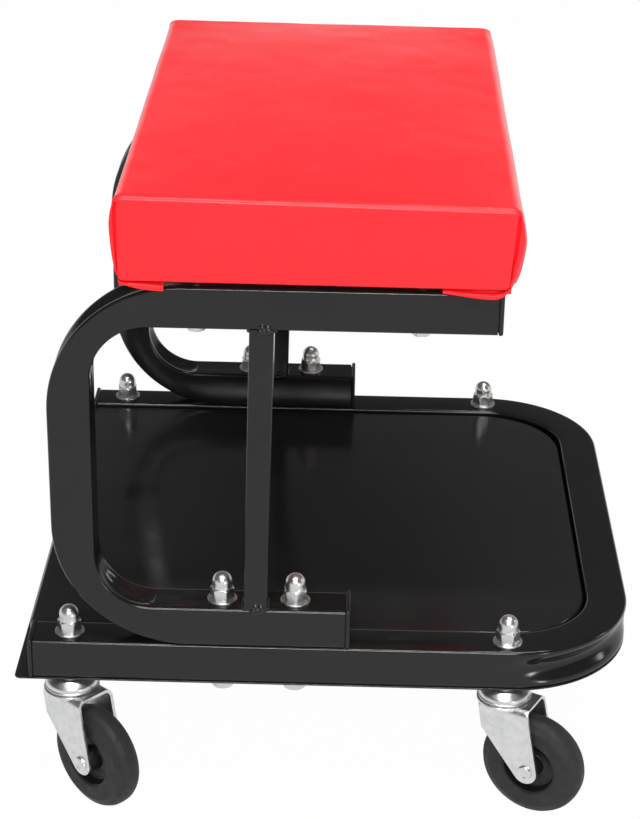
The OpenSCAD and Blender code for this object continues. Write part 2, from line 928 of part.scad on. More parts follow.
module fork() {
    color(bright_zinc)
    difference() {
        union() {
            intersection() {
                translate([-fork_back - cut, 0, 0])
                    rotate([90, 0, 90])
                        linear_extrude(fork_back + fork_reach + wheel_trail)
                            difference() {
                                arch_outline(fork_w, fork_top, fork_shoulder_r);
                                arch_outline(fork_gap, fork_top - fork_sheet,
                                    fork_shoulder_r - fork_sheet);
                            }
                translate([0, fork_w, 0])
                    rotate([90, 0, 0])
                        linear_extrude(2 * fork_w)
                            fork_side_outline();
            }
            translate([0, 0, fork_top - fork_race_t])
                cylinder(h = fork_race_t, r1 = fork_race_r - fork_race_bevel, r2 = fork_race_r);
        }
        translate([0, 0, fork_top - fork_race_t - cut])
            cylinder(h = fork_race_t + 2 * cut, d = kingpin_d + 2 * pin_play);
        translate([wheel_trail, fork_w, wheel_z])
            rotate([90, 0, 0])
                cylinder(h = 2 * fork_w, d = axle_d + 2 * pin_play);
    }
}

// Turns a piece drawn along Z onto the axle, centred between the fork's legs
module on_axle() {
    translate([wheel_trail, 0, wheel_z])
        rotate([90, 0, 0])
            children();
}

module axle_rivet() {
    color(bright_zinc)
    on_axle() {
        cylinder(h = fork_w, d = axle_d, center = true);
        for (side = [0, 1])
            mirror([0, 0, side])
                translate([0, 0, fork_w / 2])
                    rotate_extrude()
                        button_outline(rivet_head_d / 2, rivet_head_h, rivet_fillet);
    }
}

module axle_bush() {
    color(bright_zinc)
    on_axle()
        difference() {
            cylinder(h = fork_gap, d = bush_d, center = true);
            cylinder(h = fork_gap + 2 * cut, d = axle_d + 2 * pin_play, center = true);
        }
}

// Half of the wheel's outline, with round shoulders on the tread
module wheel_outline() {
    r = wheel_shoulder_r;
    translate([0, -wheel_w / 2])
        square([wheel_z - r, wheel_w]);
    translate([0, -wheel_w / 2 + r])
        square([wheel_z, wheel_w - 2 * r]);
    for (side = [-1, 1])
        translate([wheel_z - r, side * (wheel_w / 2 - r)])
            circle(r = r);
}

module wheel() {
    hub_l = fork_gap - 2 * slide_gap;
    color(tyre_grey)
    on_axle()
        difference() {
            union() {
                difference() {
                    rotate_extrude()
                        wheel_outline();
                    for (side = [0, 1])
                        mirror([0, 0, side])
                            translate([0, 0, wheel_w / 2 - wheel_recess_t]) {
                                cylinder(h = wheel_recess_t, r1 = wheel_recess_r - wheel_lip,
                                    r2 = wheel_recess_r);
                                translate([0, 0, wheel_recess_t])
                                    cylinder(h = cut, r = wheel_recess_r);
                            }
                }
                cylinder(h = hub_l, d = hub_d, center = true);
            }
            cylinder(h = hub_l + 2 * cut, d = wheel_bore_d, center = true);
        }
}

base_frame();
base_end_caps();
tray();
front_seat_leg();
rear_seat_leg();
leg_end_caps();
front_strut();
rear_strut();
strut_welds();
leg_bolts();
leg_washers();
leg_dome_nuts();
caster_washers();
caster_dome_nuts();
seat_board();
seat_foam();
seat_cover();
seat_bolts();
seat_bolt_washers();
seat_tee_nuts();
for (i = [0:len(CORNERS) - 1]) {
    at_caster(i) caster_stem();
    at_caster(i) race_cup();
    at_caster(i) race_balls();
    at_caster(i) fork();
    at_caster(i) axle_rivet();
    at_caster(i) axle_bush();
    at_caster(i) wheel();
}
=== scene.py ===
"""Looks of a rolling creeper seat: black square tube, a tray, four swivel casters and a red seat.

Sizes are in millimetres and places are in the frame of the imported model; the meshes are in metres.
"""

import logging
import math
from collections.abc import Callable, Sequence
from dataclasses import dataclass
from enum import Enum

import bmesh
import bpy
from mathutils import Matrix, Vector, noise


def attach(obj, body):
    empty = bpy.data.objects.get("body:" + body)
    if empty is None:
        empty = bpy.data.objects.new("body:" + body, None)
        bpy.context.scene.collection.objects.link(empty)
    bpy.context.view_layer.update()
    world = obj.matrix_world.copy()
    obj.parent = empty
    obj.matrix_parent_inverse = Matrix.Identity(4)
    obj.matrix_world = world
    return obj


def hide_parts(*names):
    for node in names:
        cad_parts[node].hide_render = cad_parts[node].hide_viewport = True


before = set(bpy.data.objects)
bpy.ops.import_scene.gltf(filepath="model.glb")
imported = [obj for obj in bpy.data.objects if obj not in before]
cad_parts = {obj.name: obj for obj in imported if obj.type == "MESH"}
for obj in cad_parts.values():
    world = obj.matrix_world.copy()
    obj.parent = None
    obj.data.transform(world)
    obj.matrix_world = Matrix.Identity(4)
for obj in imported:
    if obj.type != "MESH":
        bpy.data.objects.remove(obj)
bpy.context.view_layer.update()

LOG = logging.getLogger("creeper_seat")
MM = 0.001
SMOOTH_ANGLE = math.radians(32)
SOFT_ANGLE = math.radians(60)
MERGE_DISTANCE = 2e-6
NO_AREA_DISTANCE = 1e-6
FRONT_REAR = ("front", "rear")
Flat = tuple[float, float]
Triple = tuple[float, float, float]
Shape = tuple[list[Vector], list[tuple[int, ...]]]
MeshObject = bpy.types.Object
Socket = bpy.types.NodeSocket


# Shapes in plain lists of points and faces


def circle(radius: float, steps: int) -> list[Flat]:
    """Points at even steps round a circle."""
    angles = (math.tau * k / steps for k in range(steps))
    return [(radius * math.cos(a), radius * math.sin(a)) for a in angles]


def quarter(steps: int) -> list[Flat]:
    """Cosine and sine at even steps of a quarter circle."""
    angles = (math.pi / 2 * k / steps for k in range(steps + 1))
    return [(math.cos(a), math.sin(a)) for a in angles]


def rounded_rectangle(
    low: Flat, high: Flat, radii: Sequence[float], inset: float = 0.0, steps: int = 8
) -> list[Flat]:
    """Points of a rectangle with round corners, anticlockwise from its lower right corner.

    Args:
        low: Lowest x and y.
        high: Highest x and y.
        radii: Radius of the lower right, upper right, upper left and lower left corner.
        inset: How far the outline is moved inwards.
        steps: Number of steps round a corner.

    Returns:
        The outline's points.
    """
    corners = [
        (high[0], low[1], -1, 1),
        (high[0], high[1], -1, -1),
        (low[0], high[1], 1, -1),
        (low[0], low[1], 1, 1),
    ]
    points = []
    for quarter, ((x, y, in_x, in_y), radius) in enumerate(zip(corners, radii)):
        for step in range(steps + 1):
            angle = math.radians(90 * (quarter - 1) + 90 * step / steps)
            points.append(
                (
                    x + in_x * radius + (radius - inset) * math.cos(angle),
                    y + in_y * radius + (radius - inset) * math.sin(angle),
                )
            )
    return points


def fillet_profile(corners: Sequence[Triple], steps: int = 5) -> list[Flat]:
    """Points of a profile whose corners are rounded.

    Args:
        corners: Place and fillet radius of each corner; a radius of zero keeps it sharp.
        steps: Number of steps round a fillet.

    Returns:
        The profile's points, in the same order.
    """
    points: list[Flat] = []
    last = len(corners) - 1
    for index, (x, y, radius) in enumerate(corners):
        here = Vector((x, y))
        if radius == 0 or index in (0, last):
            points.append((x, y))
            continue
        back = (Vector(corners[index - 1][:2]) - here).normalized()
        ahead = (Vector(corners[index + 1][:2]) - here).normalized()
        half = back.angle(ahead) / 2
        centre = here + (back + ahead).normalized() * radius / math.sin(half)
        start = here + back * radius / math.tan(half) - centre
        end = here + ahead * radius / math.tan(half) - centre
        sweep = start.angle_signed(end)
        for step in range(steps + 1):
            arm = start.copy()
            arm.rotate(Matrix.Rotation(-sweep * step / steps, 2))
            points.append(tuple(centre + arm))
    return points


def lofted(rings: Sequence[Sequence[Vector]], closed_ends: bool = True) -> Shape:
    """Skin over rings that have the same number of points.

    Args:
        rings: The rings, one after the other.
        closed_ends: Whether the first and the last ring are closed by a face.

    Returns:
        The points and faces.
    """
    count = len(rings[0])
    points = [Vector(p) for ring in rings for p in ring]
    faces: list[tuple[int, ...]] = []
    for level in range(len(rings) - 1):
        for k in range(count):
            m = (k + 1) % count
            low = level * count
            faces.append((low + k, low + m, low + count + m, low + count + k))
    if closed_ends:
        faces.append(tuple(reversed(range(count))))
        faces.append(tuple(range(len(points) - count, len(points))))
    return points, faces


def turned(profile: Sequence[Flat], steps: int = 64) -> Shape:
    """Shape that a profile sweeps round the Z axis.

    Args:
        profile: Radius and height of each point, from the axis to the axis or in a closed loop.
        steps: Number of steps round the axis.

    Returns:
        The points and faces. A loop that stays off the axis is closed on itself.
    """
    rings = [[Vector((x, y, z)) for x, y in circle(radius, steps)] for radius, z in profile]
    if min(profile[0][0], profile[-1][0]) > 0:
        rings.append(rings[0])
    return lofted(rings, closed_ends=False)


def mirrored(half: Sequence[Flat], whole: Sequence[Flat]) -> list[Flat]:
    """A profile, followed by the mirror image of some of its points, last one first."""
    return list(half) + [(x, -z) for x, z in reversed(whole)]


def plate(
    outline: Callable[[float], Sequence[Flat]], low: float, high: float, edge: float
) -> Shape:
    """Flat plate whose upper and lower edges are rounded.

    Args:
        outline: Gives the outline's points for an inset.
        low: Height of the lower face.
        high: Height of the upper face.
        edge: Radius of the edges.

    Returns:
        The points and faces.
    """
    arc = quarter(4)
    rounds = [(low + edge - edge * s, edge * (1 - c)) for c, s in reversed(arc)]
    rounds += [(high - edge + edge * s, edge * (1 - c)) for c, s in arc]
    return lofted([[Vector((x, y, z)) for x, y in outline(inset)] for z, inset in rounds])


def curve_at(table: Sequence[Flat], key: float) -> float:
    """Value at a key on a smooth curve through the rows of a table.

    Args:
        table: Key and value of each row, with rising keys.
        key: Where the curve is read; past the ends it stays level.

    Returns:
        The value.
    """
    if key <= table[0][0]:
        return table[0][1]
    if key >= table[-1][0]:
        return table[-1][1]
    index = max(i for i in range(len(table) - 1) if table[i][0] <= key)

    def slope(i: int) -> float:
        """Slope of the curve at a row."""
        before, after = table[max(i - 1, 0)], table[min(i + 1, len(table) - 1)]
        return (after[1] - before[1]) / (after[0] - before[0])

    (x0, y0), (x1, y1) = table[index], table[index + 1]
    wide = x1 - x0
    t = (key - x0) / wide
    rise = (2 * t**3 - 3 * t**2 + 1) * y0 + (3 * t**2 - 2 * t**3) * y1
    return rise + wide * ((t**3 - 2 * t**2 + t) * slope(index) + (t**3 - t**2) * slope(index + 1))


def moved(shape: Shape, matrix: Matrix) -> Shape:
    """The shape with its points moved by a matrix."""
    points, faces = shape
    return [matrix @ p for p in points], faces


def together(shapes: Sequence[Shape]) -> Shape:
    """Several shapes as one."""
    points: list[Vector] = []
    faces: list[tuple[int, ...]] = []
    for more_points, more_faces in shapes:
        start = len(points)
        points += more_points
        faces += [tuple(start + i for i in face) for face in more_faces]
    return points, faces


def make_object(name: str, shape: Shape, smooth_angle: float = SMOOTH_ANGLE) -> MeshObject:
    """Makes a clean mesh object in metres from a shape in millimetres.

    Args:
        name: Name of the object and its mesh.
        shape: Points and faces, in millimetres.
        smooth_angle: Edges sharper than this angle stay sharp.

    Returns:
        The object, with its faces pointing outwards.
    """
    points, faces = shape
    mesh = bpy.data.meshes.new(name)
    mesh.from_pydata([p * MM for p in points], [], faces)
    obj = bpy.data.objects.new(name, mesh)
    bpy.context.scene.collection.objects.link(obj)
    clean(obj, smooth_angle)
    return obj


def clean(obj: MeshObject, smooth_angle: float = SMOOTH_ANGLE) -> None:
    """Merges doubled points, turns the faces outwards and shades them smooth.

    Args:
        obj: The mesh object.
        smooth_angle: Edges sharper than this angle stay sharp.
    """
    mesh = obj.data
    work = bmesh.new()
    work.from_mesh(mesh)
    bmesh.ops.remove_doubles(work, verts=work.verts, dist=MERGE_DISTANCE)
    bmesh.ops.dissolve_degenerate(work, edges=work.edges, dist=NO_AREA_DISTANCE)
    bmesh.ops.recalc_face_normals(work, faces=work.faces)
    work.to_mesh(mesh)
    work.free()
    mesh.polygons.foreach_set("use_smooth", [True] * len(mesh.polygons))
    mesh.set_sharp_from_angle(angle=smooth_angle)


def apply_modifiers(obj: MeshObject) -> None:
    """Replaces the object's mesh by what its modifiers make of it, and removes them.

    Args:
        obj: The mesh object.
    """
    graph = bpy.context.evaluated_depsgraph_get()
    mesh = bpy.data.meshes.new_from_object(obj.evaluated_get(graph), depsgraph=graph)
    before = obj.data
    obj.modifiers.clear()
    obj.data = mesh
    mesh.name = obj.name
    bpy.data.meshes.remove(before)


def open_socket(sockets: bpy.types.bpy_prop_collection, name: str) -> Socket:
    """The socket of that name that is in use, where a node keeps one for each data type."""
    return next(s for s in sockets if s.name == name and s.enabled)


class Nodes:
    """Adds linked nodes to a node tree."""

    def __init__(self, tree: bpy.types.NodeTree, prefix: str = "ShaderNode") -> None:
        """Keeps the tree and the prefix of its nodes' types."""
        self.tree = tree
        self.prefix = prefix

    def feed(self, socket: Socket, value: object) -> None:
        """Links a socket to another one, or sets its constant."""
        if isinstance(value, bpy.types.NodeSocket):
            self.tree.links.new(value, socket)
        else:
            socket.default_value = value

    def add(
        self, kind: str, inputs: dict[str | int, object] | None = None, **settings: object
    ) -> bpy.types.Node:
        """Adds a node.

        Args:
            kind: The node's type, without the tree's own prefix.
            inputs: A socket to link or a constant for each input, by its name or number.
            **settings: Properties of the node.

        Returns:
            The node.
        """
        known = kind.startswith(("ShaderNode", "FunctionNode", "NodeGroup"))
        node = self.tree.nodes.new(kind if known else self.prefix + kind)
        for key, value in settings.items():
            setattr(node, key, value)
        for label, value in (inputs or {}).items():
            by_number = isinstance(label, int)
            self.feed(node.inputs[label] if by_number else open_socket(node.inputs, label), value)
        return node


# Geometry Nodes


class RuleTree(Nodes):
    """A Geometry Nodes tree with named inputs, which ends in Realize Instances and Set Material."""

    def __init__(self, name: str, inputs: dict[str, str]) -> None:
        """Starts the tree.

        Args:
            name: Name of the tree.
            inputs: Socket type of each named input, without its NodeSocket prefix.
        """
        super().__init__(bpy.data.node_groups.new(name, "GeometryNodeTree"), "GeometryNode")
        face = self.tree.interface
        for label, kind in {"Geometry": "Geometry", **inputs, "Material": "Material"}.items():
            face.new_socket(label, in_out="INPUT", socket_type=f"NodeSocket{kind}")
        face.new_socket("Geometry", in_out="OUTPUT", socket_type="NodeSocketGeometry")
        self.given = self.add("NodeGroupInput").outputs

    def attribute(self, name: str, kind: str = "FLOAT") -> Socket:
        """The values of a named attribute."""
        node = self.add("InputNamedAttribute", {"Name": name}, data_type=kind)
        return open_socket(node.outputs, "Attribute")

    def number(self, operation: str, *values: object) -> Socket:
        """A sum on numbers, such as ADD or MULTIPLY."""
        inputs = dict(enumerate(values))
        return self.add("ShaderNodeMath", inputs, operation=operation).outputs[0]

    def vector(self, operation: str, first: object, second: object | None = None) -> Socket:
        """A sum on vectors; SCALE takes a number as its second value."""
        inputs = {0: first}
        if second is not None:
            inputs[3 if operation == "SCALE" else 1] = second
        return self.add("ShaderNodeVectorMath", inputs, operation=operation).outputs[0]

    def random(self, low: object, high: object) -> Socket:
        """A random number for each point, drawn with the tree's Seed."""
        inputs = {"Min": low, "Max": high, "Seed": self.given["Seed"]}
        node = self.add("FunctionNodeRandomValue", inputs, data_type="FLOAT")
        return open_socket(node.outputs, "Value")

    def drift(self) -> Socket:
        """A random angle for each point, up to the tree's Spread either way."""
        spread = self.given["Spread"]
        return self.random(self.number("MULTIPLY", spread, -1.0), spread)

    def even_steps(self, length: str) -> Socket:
        """Points along the object's edges, a named input's length apart."""
        path = self.add("MeshToCurve", {"Mesh": self.given["Geometry"]})
        inputs = {"Curve": path.outputs[0], "Length": self.given[length]}
        return self.add("ResampleCurve", inputs, mode="LENGTH").outputs[0]

    def source(self, name: str) -> Socket:
        """The mesh of the object in a named input."""
        return self.add("ObjectInfo", {"Object": self.given[name]}).outputs["Geometry"]

    def close(self, geometry: Socket) -> "RuleTree":
        """Ends the tree with Realize Instances and Set Material, and returns it."""
        real = self.add("RealizeInstances", {"Geometry": geometry}).outputs[0]
        dressed = self.add("SetMaterial", {"Geometry": real, "Material": self.given["Material"]})
        self.add("NodeGroupOutput", {0: dressed.outputs[0]})
        return self

    def close_with_copies(self, points: Socket, part: Socket, **how: object) -> "RuleTree":
        """Ends the tree with copies of a part at points, turned or scaled, and returns it."""
        copies = self.add("InstanceOnPoints", {"Points": points, "Instance": part, **how})
        return self.close(copies.outputs[0])

    def run(self, obj: MeshObject, **values: object) -> None:
        """Runs the tree on an object and keeps the result as its plain mesh.

        Args:
            obj: Object whose mesh the tree starts from.
            **values: A value for each named input, in lower case and with _ for a space.
        """
        step = obj.modifiers.new(self.tree.name, "NODES")
        step.node_group = self.tree
        for item in self.tree.interface.items_tree:
            key = item.name.lower().replace(" ", "_")
            if item.item_type == "SOCKET" and item.in_out == "INPUT" and key in values:
                step[item.identifier] = values[key]
        apply_modifiers(obj)


def pressed_tube_tree() -> RuleTree:
    """Square tube along a path, with its inner and outer walls dished where it bends.

    Returns:
        The tree. The path's points hold outer, span and bend, and the section's points hold
        wall, inset, side and dish.
    """
    inputs = {"Section": "Object", "Dish Depth": "Float", "Width Axis": "Vector"}
    rule = RuleTree("pressed_tube", inputs)
    path = rule.add("MeshToCurve", {"Mesh": rule.given["Geometry"]}).outputs[0]
    outline = rule.add("MeshToCurve", {"Mesh": rule.source("Section")}).outputs[0]
    inputs = {"Curve": path, "Profile Curve": outline, "Fill Caps": True}
    skin = rule.add("CurveToMesh", inputs).outputs[0]
    span, wall = rule.attribute("span", "FLOAT_VECTOR"), rule.attribute("wall")
    pressed = rule.number("MULTIPLY", rule.attribute("dish"), rule.attribute("bend"))
    pressed = rule.number("MULTIPLY", pressed, rule.given["Dish Depth"])
    sunk = rule.number("ADD", rule.attribute("inset"), pressed)
    way = rule.number("SUBTRACT", 1.0, rule.number("MULTIPLY", wall, 2.0))
    place = rule.attribute("outer", "FLOAT_VECTOR")
    place = rule.vector("ADD", place, rule.vector("SCALE", span, wall))
    shift = rule.number("MULTIPLY", sunk, way)
    inwards = rule.vector("SCALE", rule.vector("NORMALIZE", span), shift)
    across = rule.vector("SCALE", rule.given["Width Axis"], rule.attribute("side"))
    place = rule.vector("ADD", rule.vector("ADD", place, inwards), across)
    return rule.close(rule.add("SetPosition", {"Geometry": skin, "Position": place}).outputs[0])


def placed_parts_tree() -> RuleTree:
    """Copies of one part at points, each turned about Z by its own angle and a little at random.

    Returns:
        The tree. The points hold turn, in radians.
    """
    rule = RuleTree("placed_parts", {"Part": "Object", "Spread": "Float", "Seed": "Int"})
    angle = rule.number("ADD", rule.attribute("turn"), rule.drift())
    turn = rule.add("ShaderNodeCombineXYZ", {"Z": angle}).outputs[0]
    return rule.close_with_copies(rule.given["Geometry"], rule.source("Part"), Rotation=turn)


def stapled_hem_tree() -> RuleTree:
    """Copies of a staple at even steps along a path, lined up with it and a little askew."""
    inputs = {"Part": "Object", "Step": "Float", "Spread": "Float", "Seed": "Int"}
    rule = RuleTree("stapled_hem", inputs)
    tangent = rule.add("InputTangent").outputs[0]
    line = rule.add("FunctionNodeAlignRotationToVector", {"Vector": tangent}, axis="X").outputs[0]
    turn = rule.add("ShaderNodeCombineXYZ", {"Z": rule.drift()}).outputs[0]
    inputs = {"Rotation": line, "Rotate By": turn}
    askew = rule.add("FunctionNodeRotateRotation", inputs, rotation_space="LOCAL").outputs[0]
    return rule.close_with_copies(rule.even_steps("Step"), rule.source("Part"), Rotation=askew)


def weld_bead_tree() -> RuleTree:
    """Lumpy bead along each path, in overlapping drops."""
    inputs = {"Bead": "Float", "Drop Step": "Float", "Ripple": "Float", "Seed": "Int"}
    rule = RuleTree("weld_bead", inputs)
    size = rule.random(rule.number("SUBTRACT", 1.0, rule.given["Ripple"]), 1.0)
    inputs = {"Segments": 20, "Rings": 12, "Radius": rule.given["Bead"]}
    drop = rule.add("MeshUVSphere", inputs).outputs[0]
    return rule.close_with_copies(rule.even_steps("Drop Step"), drop, Scale=size)


# Finishes


@dataclass(frozen=True)
class Cloud:
    """Cloudy noise: its size in mm, its finer layers and its squeeze along each axis."""

    size: float
    detail: float = 2.0
    stretch: Triple = (1.0, 1.0, 1.0)


@dataclass(frozen=True)
class Pips:
    """Scattered bumps: their distance in mm, and where a bump ends as a share of it."""

    size: float
    reach: float


@dataclass(frozen=True)
class Marks:
    """Marks in a second colour, strongest where a cloud is at the top of a range."""

    cloud: Cloud
    source: Flat
    strength: float
    color: Triple


@dataclass(frozen=True)
class Relief:
    """One layer of relief: its pattern, its strength and its depth in mm."""

    pattern: Cloud | Pips
    strength: float
    depth: float


class Shades(Nodes):
    """Nodes of one material round a Principled shader, on Object coordinates."""

    def __init__(self, name: str) -> None:
        """Starts the material with a given name."""
        self.material = bpy.data.materials.new(name)
        self.material.use_nodes = True
        super().__init__(self.material.node_tree)
        self.surface = next(n for n in self.tree.nodes if n.type == "BSDF_PRINCIPLED")
        self.place = self.add("TexCoord").outputs["Object"]

    def spread(self, value: Socket, source: Flat, target: Flat) -> Socket:
        """Maps a value from one range onto another."""
        inputs = {"Value": value, "From Min": source[0], "From Max": source[1]}
        inputs.update({"To Min": target[0], "To Max": target[1]})
        return self.add("MapRange", inputs).outputs[0]

    def value(self, pattern: Cloud | Pips) -> Socket:
        """The value of a pattern over the surface."""
        scale = 1 / (pattern.size * MM)
        if isinstance(pattern, Pips):
            cells = self.add("TexVoronoi", {"Vector": self.place, "Scale": scale})
            return self.spread(cells.outputs["Distance"], (0.0, pattern.reach), (1.0, 0.0))
        place = self.add("Mapping", {"Vector": self.place, "Scale": pattern.stretch}).outputs[0]
        inputs = {"Vector": place, "Scale": scale, "Detail": pattern.detail}
        return self.add("TexNoise", inputs).outputs["Fac"]

    def blend(self, value: Socket, low: object, high: object) -> Socket:
        """Mixes two colours by a value."""
        node = self.add("Mix", {"Factor": value, "A": low, "B": high}, data_type="RGBA")
        return open_socket(node.outputs, "Result")

    def relief(self, layers: Sequence[Relief]) -> Socket:
        """The normal that the layers of relief give, one on the other."""
        inputs: dict[str | int, object] = {}
        for layer in layers:
            inputs["Height"] = self.value(layer.pattern)
            inputs["Strength"] = layer.strength
            inputs["Distance"] = layer.depth * MM
            inputs["Normal"] = self.add("Bump", inputs).outputs[0]
        return inputs["Normal"]


@dataclass(frozen=True)
class Coat:
    """One finish: the record's slot that it belongs to, its colours, its gloss and its relief."""

    slot: str
    name: str
    low: Triple
    high: Triple
    tint: Cloud
    gloss: Cloud
    rough: Flat
    relief: tuple[Relief, ...]
    specular: float = 0.5
    metallic: float = 0.0
    gloss_range: Flat = (0.3, 0.7)
    marks: Marks | None = None

    def material(self) -> bpy.types.Material:
        """Makes the material."""
        shades = Shades(self.name)
        color = shades.blend(shades.value(self.tint), (*self.low, 1.0), (*self.high, 1.0))
        if self.marks:
            share = shades.value(self.marks.cloud)
            share = shades.spread(share, self.marks.source, (0.0, self.marks.strength))
            color = shades.blend(share, color, (*self.marks.color, 1.0))
        values = {
            "Base Color": color,
            "Roughness": shades.spread(shades.value(self.gloss), self.gloss_range, self.rough),
            "Normal": shades.relief(self.relief),
            "Specular IOR Level": self.specular,
            "Metallic": self.metallic,
        }
        for label, value in values.items():
            shades.feed(shades.surface.inputs[label], value)
        return shades.material


POWDER_COAT = Coat(
    # Black gloss powder coat with a faint orange peel
    slot="black_paint",
    name="black_powder_coat",
    low=(0.0062, 0.0062, 0.0066),
    high=(0.0105, 0.0102, 0.0106),
    tint=Cloud(45.0, 3.0),
    gloss=Cloud(15.0, 4.0),
    rough=(0.1, 0.17),
    relief=(Relief(Cloud(2.4, 1.0), 0.1, 0.03), Relief(Cloud(15.0), 0.2, 0.1)),
    specular=0.33,
)
TRAY_COAT = Coat(
    # The same coat on flat sheet, where it lies smoother and shows faint rubbed marks; its colour is
    # painted lighter than on the tubes, as painted reflection for the brighter sheen of the flat
    # deck
    slot="black_paint",
    name="black_tray_coat",
    low=(0.0115, 0.0115, 0.012),
    high=(0.015, 0.0147, 0.015),
    tint=Cloud(70.0, 3.0),
    gloss=Cloud(26.0, 5.0, (0.3, 1.0, 1.0)),
    gloss_range=(0.35, 0.7),
    rough=(0.14, 0.22),
    relief=(Relief(Cloud(2.6, 1.0), 0.05, 0.03), Relief(Cloud(60.0), 0.12, 0.35)),
    specular=0.3,
)
MOULDED_CAP = Coat(
    # Black moulded plastic with a fine spark-eroded grain
    slot="cap_plastic",
    name="cap_plastic_grain",
    low=(0.006, 0.006, 0.0065),
    high=(0.011, 0.011, 0.0115),
    tint=Cloud(9.0, 3.0),
    gloss=Cloud(3.0),
    rough=(0.34, 0.5),
    relief=(Relief(Cloud(0.35), 0.35, 0.03),),
    specular=0.34,
)
BRIGHT_ZINC = Coat(
    # Bright zinc plating, nearly a mirror, with fine scratches
    slot="bright_zinc",
    name="bright_zinc_plate",
    low=(0.5, 0.5, 0.5),
    high=(0.72, 0.72, 0.71),
    tint=Cloud(6.0, 4.0),
    gloss=Cloud(2.2, 3.0),
    rough=(0.27, 0.38),
    relief=(Relief(Cloud(0.7, 3.0, (1.0, 1.0, 6.0)), 0.05, 0.02), Relief(Cloud(2.6), 0.05, 0.05)),
    metallic=1.0,
)
ZINC_SHEET = Coat(
    # Satin zinc on pressed sheet, with soft spangles, drawing lines and small spots
    slot="zinc_sheet",
    name="zinc_pressed_sheet",
    low=(0.52, 0.53, 0.54),
    high=(0.8, 0.8, 0.79),
    tint=Cloud(5.0, 4.0),
    marks=Marks(Cloud(2.4), (0.66, 0.74), 0.55, (0.34, 0.35, 0.36)),
    gloss=Cloud(3.4, 3.0),
    rough=(0.26, 0.42),
    relief=(Relief(Cloud(1.1, 3.0, (1.0, 1.0, 0.2)), 0.14, 0.03), Relief(Cloud(4.5), 0.2, 0.08)),
    metallic=1.0,
)
WHEEL_RUBBER = Coat(
    # Matt dark grey moulded rubber, dusty in places
    slot="wheel_rubber",
    name="wheel_rubber_matt",
    low=(0.0105, 0.0102, 0.0112),
    high=(0.028, 0.027, 0.028),
    tint=Cloud(7.0, 5.0),
    gloss=Cloud(4.0, 3.0),
    rough=(0.5, 0.72),
    relief=(
        Relief(Cloud(0.5, 3.0), 0.3, 0.06),
        Relief(Cloud(6.0), 0.25, 0.15),
        Relief(Pips(9.0, 0.12), 0.25, 0.2),
    ),
    specular=0.3,
)
RED_VINYL = Coat(
    # Smooth red vinyl with a very fine grain and soft stretch marks
    slot="red_vinyl",
    name="red_vinyl_grain",
    low=(0.87, 0.02, 0.027),
    high=(0.885, 0.023, 0.031),
    tint=Cloud(60.0, 3.0),
    gloss=Cloud(22.0, 3.0),
    rough=(0.24, 0.28),
    relief=(Relief(Pips(0.9, 0.7), 0.07, 0.03), Relief(Cloud(30.0, 1.0), 0.04, 0.3)),
    specular=0.2,
)
PLYWOOD = Coat(
    # Raw plywood face with long grain and darker rings
    slot="plywood",
    name="plywood_face",
    low=(0.42, 0.26, 0.13),
    high=(0.68, 0.49, 0.3),
    tint=Cloud(14.0, 6.0, (1.0, 0.07, 1.0)),
    marks=Marks(Cloud(0.9, 2.0, (1.0, 0.04, 1.0)), (0.3, 0.7), 0.35, (0.42, 0.26, 0.13)),
    gloss=Cloud(14.0, 6.0, (1.0, 0.07, 1.0)),
    rough=(0.6, 0.8),
    relief=(Relief(Cloud(0.9, 2.0, (1.0, 0.04, 1.0)), 0.3, 0.08),),
    specular=0.25,
)


class Finish(Enum):
    """The finishes, each on the record's material slot that its pieces take."""

    PAINT = POWDER_COAT
    TRAY = TRAY_COAT
    CAP = MOULDED_CAP
    ZINC = BRIGHT_ZINC
    SHEET = ZINC_SHEET
    RUBBER = WHEEL_RUBBER
    VINYL = RED_VINYL
    WOOD = PLYWOOD


class Dresser:
    """Gives each piece its finish, its body and the nodes that it stands for."""

    def __init__(self) -> None:
        """Starts with no pieces."""
        self.made: dict[Finish, bpy.types.Material] = {}
        self.count = 0

    def paint(self, finish: Finish) -> bpy.types.Material:
        """The material of a finish, made when it is first asked for."""
        if finish not in self.made:
            self.made[finish] = finish.value.material()
        return self.made[finish]

    def coat(self, obj: MeshObject, finish: Finish) -> None:
        """Makes a finish the object's only material."""
        obj.data.materials.clear()
        obj.data.materials.append(self.paint(finish))

    def dress(
        self, obj: MeshObject, finish: Finish, body: str, nodes: Sequence[str] = ()
    ) -> None:
        """Finishes a new piece.

        Args:
            obj: The piece's object, in place.
            finish: Its finish.
            body: The body that it rides on.
            nodes: The nodes that it stands for.
        """
        self.coat(obj, finish)
        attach(obj, body)
        if nodes:
            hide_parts(*nodes)
        self.count += 1
        stands_for = ", ".join(nodes) or "itself"
        faces = len(obj.data.polygons)
        LOG.info("%s: %d faces, on %s, for %s", obj.name, faces, body, stands_for)

    def carry(self, node: str, finish: Finish) -> None:
        """Gives a node that stays its finish."""
        self.coat(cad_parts[node], finish)
        LOG.info("%s: carried over", node)


def points_object(
    name: str, points: Sequence[Sequence[float]], edges: Sequence[tuple[int, int]] = ()
) -> MeshObject:

    """A mesh of bare points, or of edges between them, for a tree to start from.

    Args:
        name: Name of the object.
        points: The points, in millimetres.
        edges: Pairs of points that are joined.

    Returns:
        The object.
    """
    mesh = bpy.data.meshes.new(name)
    mesh.from_pydata([Vector(p) * MM for p in points], list(edges), [])
    obj = bpy.data.objects.new(name, mesh)
    bpy.context.scene.collection.objects.link(obj)
    return obj


def set_attribute(obj: MeshObject, name: str, values: Sequence, kind: str = "FLOAT") -> None:
    """Stores one value for each point of a mesh.

    Args:
        obj: The mesh object.
        name: Name of the attribute.
        values: A number or a vector for each point.
        kind: FLOAT or FLOAT_VECTOR.
    """
    layer = obj.data.attributes.new(name, kind, "POINT")
    if kind == "FLOAT":
        layer.data.foreach_set("value", list(values))
    else:
        layer.data.foreach_set("vector", [c for v in values for c in v])


